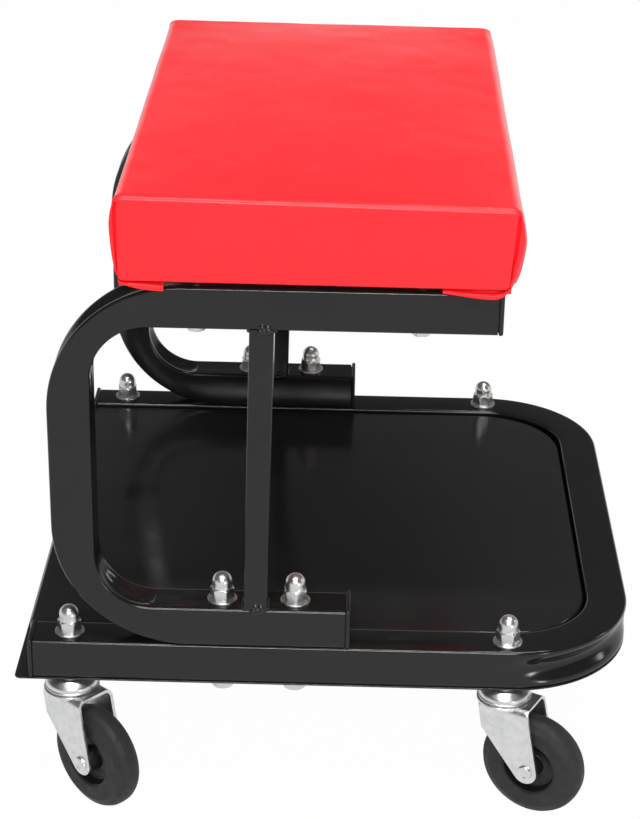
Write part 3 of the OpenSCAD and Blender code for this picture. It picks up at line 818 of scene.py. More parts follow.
def drop_attributes(obj: MeshObject, names: Sequence[str]) -> None:
    """Removes the attributes that only a tree needed."""
    for name in names:
        layer = obj.data.attributes.get(name)
        if layer is not None:
            obj.data.attributes.remove(layer)


def remove_helper(obj: MeshObject) -> None:
    """Removes an object that a tree has copied from."""
    mesh = obj.data
    bpy.data.objects.remove(obj)
    bpy.data.meshes.remove(mesh)


# Sub-assemblies


@dataclass(frozen=True)
class Stack:
    """Sizes and places that several sub-assemblies share."""

    tube_w: float = 25.0
    base_w: float = 363.0
    tray_z: float = 84.2
    tray_t: float = 1.2
    leg_h: float = 229.0
    open_x: float = -174.5
    closed_x: float = 186.5
    leg_x: float = -160.5
    strut_x: float = -40.0
    fold_t: float = 3.3
    washer_t: float = 1.6
    stem_xs: Flat = (-153.5, 109.1)
    leg_bolt_xs: Flat = (-61.7, -18.3)
    seat_bolt_xs: Flat = (-75.5, 50.5)
    stem_turns: tuple[float, ...] = (-41.6, -27.5, 25.0, 41.6)

    @property
    def frame_z(self) -> float:
        """Underside of the base frame."""
        return self.tray_z + self.tray_t

    @property
    def leg_z(self) -> float:
        """Underside of the legs."""
        return self.frame_z + self.tube_w

    @property
    def arm_top(self) -> float:
        """Top of the lower arms."""
        return self.leg_z + self.tube_w

    @property
    def leg_top(self) -> float:
        """Top of the upper arms."""
        return self.leg_z + self.leg_h

    @property
    def upper_arm_z(self) -> float:
        """Underside of the upper arms."""
        return self.leg_top - self.tube_w

    @property
    def seat_z(self) -> float:
        """Underside of the seat."""
        return self.leg_top + self.fold_t

    @property
    def rails(self) -> Flat:
        """Middle of the front and of the rear tube along Y."""
        rail = (self.base_w - self.tube_w) / 2
        return (-rail, rail)


class Plane(Enum):
    """The plane that a tube is bent in, as the axes of its path and of its width."""

    LEVEL = ((1, 0, 0), (0, 1, 0), (0, 0, 1))
    UPRIGHT = ((1, 0, 0), (0, 0, 1), (0, -1, 0))


@dataclass
class PressedTube:
    """Square tube bent to a hairpin, with squeezed and dished bends."""

    name: str
    plane: Plane
    origin: Triple
    start: Flat
    first: Flat
    second: Flat
    end: Flat
    outer_r: float
    inner_r: float
    dish: float
    dish_fade: float = 0.6
    width: float = 25.0
    corner_r: float = 2.1
    bend_steps: int = 44
    straight_steps: int = 6
    corner_steps: int = 6
    wall_steps: int = 18

    def lift(self, point: Vector) -> Vector:
        """A point of the path's plane as a direction in space."""
        along, over, _ = self.plane.value
        return Vector(along) * point.x + Vector(over) * point.y

    def bend(self, corner: Vector, along: Vector) -> list[tuple[Vector, Vector, float]]:
        """Stations round one bend to the left.

        Args:
            corner: Where the outer walls would meet.
            along: Direction of the tube before the bend.

        Returns:
            Outer point, inner point and share of the full dish at each station.
        """
        over = Vector((-along.y, along.x))
        outer_c = corner + self.outer_r * (over - along)
        inner_c = corner + (self.width + self.inner_r) * (over - along)
        stations = []
        for c, s in quarter(self.bend_steps):
            ray = s * along - c * over
            share = max(2 * s * c, 0.0) ** self.dish_fade
            stations.append((outer_c + self.outer_r * ray, inner_c + self.inner_r * ray, share))
        return stations

    def stations(self) -> list[tuple[Vector, Vector, float]]:
        """Stations of the whole tube, from its start to its end."""
        corners = (self.start, self.first, self.second, self.end)
        start, first, second, end = (Vector(p) for p in corners)
        go = (first - start).normalized()
        over = Vector((-go.y, go.x))
        rows = [(start, start + self.width * over, 0.0)]
        for bend in (self.bend(first, go), self.bend(second, over)):
            before = rows[-1]
            for step in range(1, self.straight_steps):
                share = step / self.straight_steps
                outer, inner = (before[k].lerp(bend[0][k], share) for k in (0, 1))
                rows.append((outer, inner, 0.0))
            rows += bend
        rows.append((end, end - self.width * over, 0.0))
        return rows

    def section(self) -> list[tuple[float, float, float, float]]:
        """Wall, inset, side and dish share of each point round the tube's section."""
        r, flat = self.corner_r, self.width / 2 - self.corner_r
        shares = [-1 + 2 * step / self.wall_steps for step in range(self.wall_steps + 1)]
        arc = quarter(self.corner_steps)[1:]
        rows: list[tuple[float, float, float, float]] = []
        for wall, way in ((0.0, 1.0), (1.0, -1.0)):
            rows += [(wall, 0.0, way * flat * k, (1 - k * k) ** 2) for k in shares]
            for side, turn in ((wall, arc), (1.0 - wall, reversed(arc))):
                rows += [(side, r * (1 - c), way * (flat + r * s), 0.0) for c, s in turn]
        return rows

    def build(self, rule: RuleTree, material: bpy.types.Material) -> MeshObject:
        """Builds the tube.

        Args:
            rule: The tree that presses the tube along its path.
            material: Its finish.

        Returns:
            The tube's object.
        """
        rows = self.stations()
        base = Vector(self.origin)
        outer = [base + self.lift(row[0]) for row in rows]
        span = [self.lift(row[1] - row[0]) for row in rows]
        path = points_object(self.name, outer, [(i, i + 1) for i in range(len(rows) - 1)])
        set_attribute(path, "outer", [p * MM for p in outer], "FLOAT_VECTOR")
        set_attribute(path, "span", [s * MM for s in span], "FLOAT_VECTOR")
        set_attribute(path, "bend", [row[2] for row in rows])
        ring = self.section()
        count = len(ring)
        loop = [(x, y, 0) for x, y in circle(1.0, count)]
        edges = [(k, (k + 1) % count) for k in range(count)]
        section = points_object(f"{self.name}_section", loop, edges)
        columns = (("wall", 1.0), ("inset", MM), ("side", MM), ("dish", 1.0))
        for column, (name, scale) in enumerate(columns):
            set_attribute(section, name, [row[column] * scale for row in ring])
        axis = self.plane.value[2]
        dish = self.dish * MM
        rule.run(path, section=section, dish_depth=dish, width_axis=axis, material=material)
        remove_helper(section)
        drop_attributes(path, ("outer", "span", "bend", *(name for name, _ in columns)))
        clean(path)
        return path


@dataclass
class TubeFrame:
    """The base frame, both seat legs, their struts, welds and end caps."""

    stack: Stack
    base_outer_r: float = 76.0
    base_inner_r: float = 50.0
    base_dish: float = 5.6
    leg_outer_r: float = 78.0
    leg_inner_r: float = 34.0
    leg_dish: float = 4.2
    strut_w: float = 14.0
    strut_r: float = 1.5
    strut_lean: float = 1.6
    strut_gap: float = 0.4
    cap_t: float = 3.0
    cap_edge: float = 1.0
    cap_proud: float = 1.1
    cap_slit: float = 0.45
    cap_corner_r: float = 2.4
    plug_l: float = 10.0
    plug_inset: float = 1.3
    plug_corner_r: float = 1.2
    lower_arm_l: float = 172.0
    upper_arm_l: float = 253.0
    bead: float = 1.2
    bead_step: float = 1.3
    drop: float = 3.0
    drop_step: float = 2.1
    drop_sunk: float = 1.5
    weld_ripple: float = 0.2

    def tubes(self, dresser: Dresser) -> None:
        """Builds the three bent tubes."""
        s = self.stack
        half, mid = s.base_w / 2, s.frame_z + s.tube_w / 2
        rule = pressed_tube_tree()
        base = PressedTube(
            "base_tube", Plane.LEVEL, (0, 0, mid),
            (s.open_x, -half), (s.closed_x, -half), (s.closed_x, half), (s.open_x, half),
            self.base_outer_r, self.base_inner_r, self.base_dish,
        )
        made = [(base, "base_frame")]
        for side, y in zip(FRONT_REAR, s.rails):
            leg = PressedTube(
                f"{side}_leg_tube", Plane.UPRIGHT, (0, y, 0),
                (s.leg_x + self.upper_arm_l, s.leg_top), (s.leg_x, s.leg_top),
                (s.leg_x, s.leg_z), (s.leg_x + self.lower_arm_l, s.leg_z),
                self.leg_outer_r, self.leg_inner_r, self.leg_dish,
            )
            made.append((leg, f"{side}_seat_leg"))
        for tube, node in made:
            obj = tube.build(rule, dresser.paint(Finish.PAINT))
            dresser.dress(obj, Finish.PAINT, "frame", [node])

    def strut_ends(self) -> list[Flat]:
        """Height and X of the struts' lower and upper ends."""
        s, lean = self.stack, self.strut_lean
        return [(s.arm_top, s.strut_x - lean), (s.upper_arm_z, s.strut_x + lean)]

    def strut_y(self, rail: float) -> float:
        """Middle of a strut along Y; it lies at its rail's front face."""
        return rail + (self.strut_w - self.stack.tube_w) / 2

    def struts(self, dresser: Dresser) -> None:
        """Builds the square struts between the arms."""
        half = self.strut_w / 2
        for side, rail in zip(FRONT_REAR, self.stack.rails):
            mid_y = self.strut_y(rail)
            rings = []
            for (z, x), way in zip(self.strut_ends(), (-1, 1)):
                low, high = (x - half, mid_y - half), (x + half, mid_y + half)
                ring = rounded_rectangle(low, high, [self.strut_r] * 4)
                rings.append([Vector((px, py, z + way * self.strut_gap)) for px, py in ring])
            obj = make_object(f"{side}_strut_bar", lofted(rings))
            dresser.dress(obj, Finish.PAINT, "frame", [f"{side}_strut"])

    def beads(
        self, rule: RuleTree, name: str, lines: Sequence[Sequence[Triple]], size: float,
        step: float, seed: int,
    ) -> MeshObject:
        """Lays weld metal along straight lines.

        Args:
            rule: The tree that lays it.
            name: Name of the object.
            lines: Start and end of each line.
            size: Radius of a drop.
            step: Distance between drops.
            seed: Seed of their uneven sizes.

        Returns:
            The object.
        """
        points = [p for line in lines for p in line]
        obj = points_object(name, points, [(i, i + 1) for i in range(0, len(points), 2)])
        sizes = {"bead": size * MM, "drop_step": step * MM, "ripple": self.weld_ripple}
        rule.run(obj, seed=seed, **sizes)
        return obj

    def welds(self, dresser: Dresser) -> None:
        """Lays the weld beads along the struts' ends, and the lump on the front of each."""
        half = self.strut_w / 2
        lines, lumps = [], []
        for rail in self.stack.rails:
            mid_y = self.strut_y(rail)
            near, far = mid_y - half + 1.5, mid_y + half - 1.5
            deep = mid_y - half + self.drop_sunk
            for (z, mid_x), inwards in zip(self.strut_ends(), (0.5, -0.5)):
                for x in (mid_x - half - 0.3, mid_x + half + 0.3):
                    lines.append(((x, near, z + inwards), (x, far, z + inwards)))
                x = mid_x + 1.6
                lumps.append(((x - 2.6, deep, z - 1.2), (x + 2.2, deep, z - 0.2)))
                lumps.append(((x - 1.4, deep + 0.3, z + 1.6), (x + 1.8, deep + 0.2, z + 1.2)))
        rule = weld_bead_tree()
        beads = self.beads(rule, "weld_beads", lines, self.bead, self.bead_step, 7)
        join([beads, self.beads(rule, "weld_lumps", lumps, self.drop, self.drop_step, 3)])
        clean(beads, SOFT_ANGLE)
        dresser.dress(beads, Finish.PAINT, "frame", ["strut_welds"])

    def cap(self, x: float, y: float, z: float, way: int) -> Shape:
        """One end cap's flange and plug.

        Args:
            x: Where the tube ends.
            y: Middle of the tube along Y.
            z: Middle of the tube along Z.
            way: 1 if the cap faces +X, -1 if it faces -X.

        Returns:
            The points and faces.
        """
        half = self.stack.tube_w / 2
        out, core = half + self.cap_proud, half - self.plug_inset

        def flange(inset: float) -> list[Flat]:
            """Outline of the flange, which doesn't stand proud below the tube."""
            return rounded_rectangle((-out, -half), (out, out), [self.cap_corner_r] * 4, inset)

        def plug(inset: float) -> list[Flat]:
            """Outline of the plug."""
            radii = [self.plug_corner_r] * 4
            return rounded_rectangle((-core, -core), (core, core), radii, inset)

        shape = together(
            [
                plate(flange, self.cap_slit, self.cap_t, self.cap_edge),
                plate(plug, -self.plug_l, self.cap_slit + 0.5, 0.4),
            ]
        )
        stand = Matrix(((0, 0, way, 0), (1, 0, 0, 0), (0, 1, 0, 0), (0, 0, 0, 1)))
        return moved(shape, Matrix.Translation((x, y, z)) @ stand)

    def caps(self, dresser: Dresser) -> None:
        """Closes the ends of the tubes."""
        s = self.stack
        mid = s.tube_w / 2
        base = [self.cap(s.open_x, y, s.frame_z + mid, -1) for y in s.rails]
        ends = []
        for y in s.rails:
            ends.append(self.cap(s.leg_x + self.lower_arm_l, y, s.leg_z + mid, 1))
            ends.append(self.cap(s.leg_x + self.upper_arm_l, y, s.leg_top - mid, 1))
        for name, shapes, node in (
            ("base_plugs", base, "base_end_caps"), ("leg_plugs", ends, "leg_end_caps"),
        ):
            dresser.dress(make_object(name, together(shapes)), Finish.CAP, "frame", [node])


    def build(self, dresser: Dresser) -> None:
        """Builds and dresses the pieces."""
        self.tubes(dresser)
        self.struts(dresser)
        self.welds(dresser)
        self.caps(dresser)


@dataclass
class ToolTray:
    """The tray, pressed from one sheet: a flange under the base frame and a deck inside it."""

    stack: Stack
    overhang: float = 12.0
    free_r: float = 4.0
    bend_r: float = 76.0
    edge: float = 0.5
    deck_setback: float = 6.3
    deck_gap: float = 1.2
    deck_drop: float = 2.2
    deck_corner_r: float = 6.0
    deck_bend_r: float = 54.0
    deck_edge_r: float = 2.6
    foot_r: float = 1.0
    steps: int = 32

    def flange(self, inset: float, z: float) -> list[Vector]:
        """Ring round the flange."""
        s = self.stack
        low, high = (s.open_x - self.overhang, -s.base_w / 2), (s.closed_x, s.base_w / 2)
        radii = [self.bend_r] * 2 + [self.free_r] * 2
        ring = rounded_rectangle(low, high, radii, inset, self.steps)
        return [Vector((x, y, z)) for x, y in ring]

    def deck(self, inset: float, z: float) -> list[Vector]:
        """Ring round the deck."""
        s = self.stack
        half = s.base_w / 2 - s.tube_w - self.deck_gap
        low = (s.open_x - self.overhang + self.deck_setback, -half)
        high = (s.closed_x - s.tube_w - self.deck_gap, half)
        radii = [self.deck_bend_r] * 2 + [self.deck_corner_r] * 2
        ring = rounded_rectangle(low, high, radii, inset, self.steps)
        return [Vector((x, y, z)) for x, y in ring]

    def build(self, dresser: Dresser) -> None:
        """Builds and dresses the tray: down the deck's edge, round the flange and back inside."""
        s = self.stack
        low, high, top, t = s.tray_z, s.frame_z - 0.02, s.leg_z - self.deck_drop, s.tray_t
        arc = quarter(6)
        back = arc[::-1]
        r, foot, e = self.deck_edge_r, self.foot_r, self.edge
        rings = [self.deck(r * (1 - c), top - r * (1 - k)) for c, k in back]
        rings += [self.deck(foot * (c - 1), high + foot * (1 - k)) for c, k in back]
        rings += [self.flange(e * (1 - c), high - e * (1 - k)) for c, k in back]
        rings += [self.flange(e * (1 - c), low + e * (1 - k)) for c, k in arc]
        r, foot, top = r - t, foot + t, top - t
        rings += [self.deck(t - foot * (1 - c), low + foot * (1 - k)) for c, k in back]
        rings += [self.deck(t + r * (1 - c), top - r * (1 - k)) for c, k in arc]
        dresser.dress(make_object("tray_sheet", lofted(rings)), Finish.TRAY, "frame", ["tray"])


@dataclass
class Fasteners:
    """Bolts, washers and dome nuts of the frame, and the seat's bolts."""

    stack: Stack
    bolt_d: float = 8.0
    bolt_af: float = 13.0
    bolt_head_h: float = 7.2
    washer_d: float = 17.6
    nut_h: float = 16.8
    nut_hex_h: float = 7.4
    nut_dome_d: float = 12.0
    seat_bolt_d: float = 6.0
    seat_bolt_af: float = 10.0
    seat_bolt_head_h: float = 3.4
    seat_washer_d: float = 14.0
    seat_washer_t: float = 1.2
    seat_bolt_l: float = 36.0
    bolt_end: float = 2.0
    hole_play: float = 0.4
    turn_spread: float = 4.0
    ring_steps: int = 72
    hex_turned: float = 0.985
    edge_power: float = 40.0
    turned_power: float = 90.0

    def hex_ring(self, flats: float, limit: float, z: float) -> list[Vector]:
        """Ring of a hexagon whose corners are turned off at a radius.

        Args:
            flats: Width across the flats.
            limit: Radius that the corners are turned to, as a share of the corners' own.
            z: Height of the ring.

        Returns:
            The ring's points.
        """
        corner = flats / math.sqrt(3)

        def softer(first: float, second: float, power: float) -> float:
            """The smaller of two radii, with a smooth change between them."""
            return (first**-power + second**-power) ** (-1 / power)

        ring = []
        for k in range(self.ring_steps):
            angle = math.tau * k / self.ring_steps
            local = (angle + math.pi / 6) % (math.pi / 3) - math.pi / 6
            flat = flats / 2 / math.cos(local)
            soft = softer(flat, self.hex_turned * corner, self.edge_power)
            radius = softer(soft, corner * limit, self.turned_power)
            ring.append(Vector((radius * math.cos(angle), radius * math.sin(angle), z)))
        return ring

    def round_ring(self, radius: float, z: float) -> list[Vector]:
        """Ring of a circle with as many points as a hexagon's ring."""
        return [Vector((x, y, z)) for x, y in circle(radius, self.ring_steps)]

    def dome_nut(self) -> Shape:
        """Nut with a turned-off hexagon and a dome on a short neck."""
        dome, high = self.nut_dome_d / 2, self.nut_hex_h
        foot = ((0.9, 0.0), (0.95, 0.3), (1.01, 0.9))
        shoulder = ((1.02, high - 2.0), (0.99, high - 1.1), (0.94, high - 0.5), (0.87, high))
        rings = [self.round_ring(self.bolt_d / 2, 0.0)]
        rings += [self.hex_ring(self.bolt_af, limit, z) for limit, z in foot + shoulder]
        rings.append(self.round_ring(dome + 0.15, high + 0.02))
        rings.append(self.round_ring(dome, high + 0.35))
        crest = self.nut_h - dome
        rings += [self.round_ring(max(dome * c, 0.02), crest + dome * s) for c, s in quarter(16)]
        return lofted(rings)

    def washer(self, d: float, hole: float, t: float) -> Shape:
        """Washer with turned-off edges."""
        r, bore = d / 2, hole / 2
        inside = [(bore, t / 2, 0), (bore, t, 0.2)]
        outside = [(r, t, 0.45), (r, 0.0, 0.25)]
        back = [(bore, 0.0, 0.2), (bore, t / 2 - 0.05, 0)]
        return turned(fillet_profile(inside + outside + back, 3))

    def bolt(self, d: float, flats: float, head_h: float, shank_l: float) -> Shape:
        """Hexagon bolt that stands on its head, with a dished mark-free top."""
        top = -head_h
        rings = [self.round_ring(flats * 0.3, top + 0.25), self.round_ring(flats * 0.34, top)]
        crown = ((0.86, top), (0.93, top + 0.45), (0.99, top + 1.1), (1.02, top + 2.0))
        foot = ((1.02, -0.7), (0.94, -0.25), (0.9, 0.0))
        rings += [self.hex_ring(flats, limit, z) for limit, z in crown + foot]
        rings += [self.round_ring(d / 2, z) for z in (0.02, shank_l)]
        return lofted(rings)

    def place(
        self, rule: RuleTree, dresser: Dresser, name: str, shape: Shape, xs: Sequence[float],
        z: float, turns: Sequence[float], node: str, seed: int,
    ) -> None:
        """Places copies of a fastener along both rails.

        Args:
            rule: The tree that places them.
            dresser: Gives the piece its finish.
            name: Name of the piece.
            shape: One fastener, standing on the origin.
            xs: Places along X.
            z: Height that it stands at.
            turns: Turn of each copy in degrees, front rail first.
            node: The node that the piece stands for.
            seed: Seed of the small random turns.
        """
        part = make_object(f"{name}_one", shape)
        obj = points_object(name, [(x, y, z) for y in self.stack.rails for x in xs])
        set_attribute(obj, "turn", [math.radians(a) for a in turns])
        spread, material = math.radians(self.turn_spread), dresser.paint(Finish.ZINC)
        rule.run(obj, part=part, spread=spread, seed=seed, material=material)
        remove_helper(part)
        drop_attributes(obj, ["turn"])
        dresser.dress(obj, Finish.ZINC, "frame", [node])

    def build(self, dresser: Dresser) -> None:
        """Builds and dresses the fasteners."""
        s = self.stack
        nut_z, stem_z = s.arm_top + s.washer_t, s.leg_z + s.washer_t
        seat_z = s.upper_arm_z - self.seat_washer_t
        shank = nut_z - s.tray_z + self.nut_hex_h + self.bolt_end
        washer = self.washer(self.washer_d, self.bolt_d + self.hole_play, s.washer_t)
        nut = self.dome_nut()
        bolt = self.bolt(self.bolt_d, self.bolt_af, self.bolt_head_h, shank)
        seat_bolt = self.bolt(
            self.seat_bolt_d, self.seat_bolt_af, self.seat_bolt_head_h, self.seat_bolt_l
        )
        seat_washer = self.washer(
            self.seat_washer_d, self.seat_bolt_d + self.hole_play, self.seat_washer_t
        )
        legs, stems, seats = s.leg_bolt_xs, s.stem_xs, s.seat_bolt_xs
        rows = (
            ("leg_washer_set", washer, legs, s.arm_top, (0, 90, 40, 10), "leg_washers"),
            ("leg_nut_set", nut, legs, nut_z, (24, 8, 15, 50), "leg_dome_nuts"),
            ("leg_bolt_set", bolt, legs, s.tray_z, (28, 4, 20, 47), "leg_bolts"),
            ("stem_washer_set", washer, stems, s.leg_z, (12, 35, 71, 5), "caster_washers"),
            ("stem_nut_set", nut, stems, stem_z, (26, 20, 8, 33), "caster_dome_nuts"),
            ("seat_bolt_set", seat_bolt, seats, seat_z, (5, 33, 18, 49), "seat_bolts"),
            ("seat_washer_set", seat_washer, seats, seat_z, (0, 20, 40, 60), "seat_bolt_washers"),
        )
        rule = placed_parts_tree()
        for seed, (name, shape, xs, z, turns, node) in enumerate(rows, 1):
            self.place(rule, dresser, name, shape, xs, z, turns, node, seed)


@dataclass(frozen=True)
class CornerPlace:
    """Where a caster stands and how it is turned at rest."""

    name: str
    x: float
    y: float
    turn: float


@dataclass
class SwivelCaster:
    """One caster, drawn with its swivel axis on Z and its wheel towards +X."""

    place: CornerPlace
    caster_h: float = 84.2
    wheel_d: float = 65.0
    wheel_w: float = 18.0
    trail: float = 21.6
    stem_l: float = 35.7
    collar_h: float = 3.5
    cup_h: float = 6.6
    cup_r: float = 16.0
    cup_rise: float = 1.9
    fork_gap: float = 23.2
    fork_sheet: float = 2.0
    fork_reach: float = 20.6
    fork_back: float = 11.6
    fork_waist: float = 8.4
    fork_back_drop: float = 18.0
    fork_end_r: float = 7.6
    shoulder_r: float = 5.0
    race_r: float = 17.0
    race_t: float = 3.4
    race_hole_r: float = 5.1
    rivet_d: float = 9.4
    rivet_h: float = 1.6
    wall: float = 1.5
    pin_head_r: float = 7.4
    pin_r: float = 4.98
    collar_r: float = 10.0
    thread_r: float = 4.0
    end_steps: int = 12
    leg_steps: int = 14
    shoulder_steps: int = 8
    columns: int = 15

    @property
    def fork_top(self) -> float:
        """Height of the fork's plate."""
        return self.caster_h - self.collar_h - self.cup_h

    @property
    def wheel_z(self) -> float:
        """Height of the axle."""
        return self.wheel_d / 2

    def seat(self) -> Matrix:
        """From the caster's own frame to its place."""
        turn = Matrix.Rotation(math.radians(self.place.turn), 4, "Z")
        return Matrix.Translation((self.place.x, self.place.y, 0)) @ turn

    def axle(self) -> Matrix:
        """From a shape turned about Z to one turned about the axle."""
        lay = Matrix.Rotation(math.pi / 2, 4, "X")
        return self.seat() @ Matrix.Translation((self.trail, 0, self.wheel_z)) @ lay

    def stem(self) -> Shape:
        """Kingpin with its riveted head, collar and threaded stem."""
        head, top = self.fork_top - self.race_t - 0.05, self.caster_h
        collar, end = top - self.collar_h, top + self.stem_l
        loop = [
            (0, head - 2.4, 0), (4.2, head - 2.4, 0.8), (self.pin_head_r, head - 0.3, 0.4),
            (self.pin_head_r, head, 0), (self.pin_r, head + 0.02, 0), (self.pin_r, collar, 0),
            (self.collar_r, collar, 0.5), (self.collar_r, top, 0), (self.thread_r, top, 0),
            (self.thread_r, end, 0.5), (0, end, 0),
        ]
        return turned(fillet_profile(loop))

    def cup(self) -> Shape:
        """Pressed race cup with a rolled rim and a domed shoulder."""
        low, high, r, t = self.fork_top + 0.5, self.fork_top + self.cup_h, self.cup_r, self.wall
        crest, inner = high + self.cup_rise, r - t
        rim = [
            (r - 0.8, low, 0), (r + 0.3, low, 0.35), (r + 0.3, low + 0.9, 0.4),
            (r - 0.3, low + 1.3, 0.4),
        ]
        outside = [(r - 0.5, low + 3.6, 3.0), (r - 5.2, crest, 5.0), (8.0, crest, 0.8)]
        hole = [(7.2, high + 0.2, 0.4), (5.2, high, 0.2), (5.2, high - t, 0.2)]
        inside = [
            (inner - 2.6, high - t, 1.6), (inner - 0.6, high - t - 2.6, 1.0),
            (inner - 0.5, low + 0.1, 0), (r - 0.85, low, 0),
        ]
        return turned(fillet_profile(rim + outside + hole + inside, 6), 96)

    def edge_at(self, chain: Sequence[Flat], z: float) -> float:
        """X where a chain of the fork's side outline crosses a height."""
        for (x0, z0), (x1, z1) in zip(chain, chain[1:]):
            if z1 <= z <= z0 and z0 != z1:
                return x0 + (x1 - x0) * (z0 - z) / (z0 - z1)
        return chain[-1][0] if z < chain[-1][1] else chain[0][0]

    def chain(self, top: Sequence[Flat], side: int) -> list[Flat]:
        """One edge of a fork leg, from the top down and round the end to its lowest point.

        Args:
            top: Points that the edge runs through above the end.
            side: 1 for the front edge, -1 for the back edge.

        Returns:
            The edge's points.
        """
        axle, r = Vector((self.trail, self.wheel_z)), self.fork_end_r
        away = axle - Vector(top[-1])
        gap = math.atan2(away.y, away.x) + side * math.asin(r / away.length)
        reach = math.sqrt(away.length_squared - r**2)
        arm = Vector(top[-1]) + reach * Vector((math.cos(gap), math.sin(gap))) - axle
        start, stop = math.atan2(arm.y, arm.x), -math.pi / 2
        if side < 0 < start:
            start -= math.tau
        steps = 2 * self.end_steps
        angles = (start + (stop - start) * step / steps for step in range(steps))
        end = [(axle.x + r * math.cos(a), axle.y + r * math.sin(a)) for a in angles]
        return [*top, *end, (axle.x, axle.y - r)]

    def leg_path(self) -> list[Flat]:
        """Middle line of the fork's outside, from one leg's end over the top to the other's."""
        half, top, r = self.fork_gap / 2 + self.fork_sheet, self.fork_top, self.shoulder_r
        axle, straight = self.wheel_z, self.fork_top - self.shoulder_r
        path = [(-half, axle - self.fork_end_r * c) for c, _ in quarter(self.end_steps)]
        steps = range(1, self.leg_steps + 1)
        path += [(-half, axle + (straight - axle) * k / self.leg_steps) for k in steps]
        shoulder = quarter(self.shoulder_steps)[1:]
        path += [(-half + r - r * c, straight + r * s) for c, s in shoulder]
        path += [(-half * 0.3, top), (0.0, top)]
        return path + [(-y, z) for y, z in reversed(path[:-1])]

    def fork(self, name: str) -> MeshObject:
        """Fork pressed from one sheet, with round shoulders and a swelling for the race.

        Args:
            name: Name of the object.

        Returns:
            The object.
        """
        top = self.fork_top
        front = self.chain([(self.fork_reach, top)], 1)
        waist = (-self.fork_waist, top - self.fork_back_drop)
        back = self.chain([(-self.fork_back, top), waist], -1)
        points, faces, wide = [], [], self.columns
        path = self.leg_path()
        for y, z in path:
            low, high = self.edge_at(back, z), self.edge_at(front, z)
            points += [Vector((low + (high - low) * k / (wide - 1), y, z)) for k in range(wide)]
        for row in range(len(path) - 1):
            for a in range(row * wide, row * wide + wide - 1):
                faces.append((a, a + wide, a + wide + 1, a + 1))
        obj = make_object(name, moved((points, faces), self.seat()))
        wall = obj.modifiers.new("wall", "SOLIDIFY")
        wall.thickness = self.fork_sheet * MM
        wall.offset = -1.0
        wall.use_even_offset = True
        apply_modifiers(obj)
        sharp = math.radians(50)
        clean(obj, sharp)
        soften = obj.modifiers.new("edge", "BEVEL")
        soften.width = 0.35 * MM
        soften.segments = 2
        soften.limit_method = "ANGLE"
        soften.angle_limit = sharp
        apply_modifiers(obj)
        hole, r, low = self.race_hole_r, self.race_r, top - self.race_t
        race = [
            (hole, top - 0.4, 0), (hole, top + 0.12, 0.1), (r - 1.6, top + 0.12, 0.3),
            (r, top - 0.5, 0.7), (r, low + 1.0, 1.0), (r - 1.6, low, 0.6), (hole, low, 0.2),
            (hole, top - 0.5, 0),
        ]
        swelling = moved(turned(fillet_profile(race), 72), self.seat())
        join([obj, make_object(f"{name}_race", swelling)])
        obj.data.set_sharp_from_angle(angle=math.radians(48))
        return obj

    def rivet(self) -> Shape:
        """Axle with a peened head and a raised ring on both sides."""
        half, r = self.fork_gap / 2 + self.fork_sheet, self.rivet_d / 2
        head = half + self.rivet_h
        side = fillet_profile(
            [
                (0, head - 0.35, 0), (r * 0.5, head - 0.35, 0.4), (r * 0.62, head, 0.3),
                (r * 0.9, head, 0.5), (r, half + 0.5, 0.4), (r, half + 0.02, 0),
                (3.0, half + 0.01, 0), (3.0, 0, 0),
            ]
        )
        return turned(mirrored(side, side[:-1]), 56)

    def core(self) -> Shape:
        """Wheel's core, with a hub, a thin web in a deep recess and a rim inside the tyre; its
        darker black plastic is partly its own colour and partly painted shade for the recess.
        """
        w, hub = self.wheel_w / 2, self.fork_gap / 2 - 0.3
        inside = [(4.05, 0.0, 0), (4.05, hub, 0.25), (6.6, hub, 0.5), (7.4, w - 6.4, 1.0)]
        web = [(10.5, w - 7.0, 1.2), (15.2, w - 6.2, 1.6)]
        rim = [(16.3, w - 1.0, 0.3), (17.1, w - 0.9, 0), (17.1, 0.0, 0)]
        half = fillet_profile(inside + web + rim, 6)
        return turned(mirrored(half, half[1:-1]), 96)

    def tyre(self) -> Shape:
        """Tyre with a flat side and round shoulders."""
        w, r = self.wheel_w / 2, self.wheel_z
        side = [(16.95, 0.0, 0), (16.95, w - 0.5, 0.2), (17.8, w, 0.35), (r - 6.4, w - 0.1, 1.6)]
        tread = [(r - 1.7, w - 2.9, 2.6), (r - 0.25, 3.2, 2.5), (r, 0.0, 0)]
        half = fillet_profile(side + tread, 6)
        return turned(mirrored(half, half[1:-1]), 128)

    def build(self, dresser: Dresser) -> None:
        """Builds and dresses the caster's pieces."""
        name, seat, axle = self.place.name, self.seat(), self.axle()
        swivel, roller = f"{name}_caster", f"{name}_roller"
        for piece, shape, finish, body, nodes in (
            ("kingpin", moved(self.stem(), seat), Finish.ZINC, "frame", ["caster_stem"]),
            ("cup", moved(self.cup(), seat), Finish.ZINC, "frame", ["race_cup"]),
            ("fork_sheet", None, Finish.SHEET, swivel, ["fork"]),
            ("rivet", moved(self.rivet(), axle), Finish.SHEET, swivel, ["axle_rivet"]),
            ("tyre", moved(self.tyre(), axle), Finish.RUBBER, roller, ["wheel"]),
            # The core's darker plastic is partly its own black and partly painted shade for its deep
            # recess
            ("core", moved(self.core(), axle), Finish.CAP, roller, []),
        ):
            label = f"{name}_{piece}"
            obj = make_object(label, shape) if shape else self.fork(label)
            dresser.dress(obj, finish, body, [f"{name}_{node}" for node in nodes])
        for node in ("race_balls", "axle_bush"):
            dresser.carry(f"{name}_{node}", Finish.ZINC)


def join(objects: Sequence[MeshObject]) -> None:
    """Joins the meshes of later objects into the first one and removes the later ones.

    Args:
        objects: The objects, in place and unturned.
    """
    work = bmesh.new()
    for obj in objects:
        work.from_mesh(obj.data)
    work.to_mesh(objects[0].data)
    work.free()
    for obj in objects[1:]:
        remove_helper(obj)


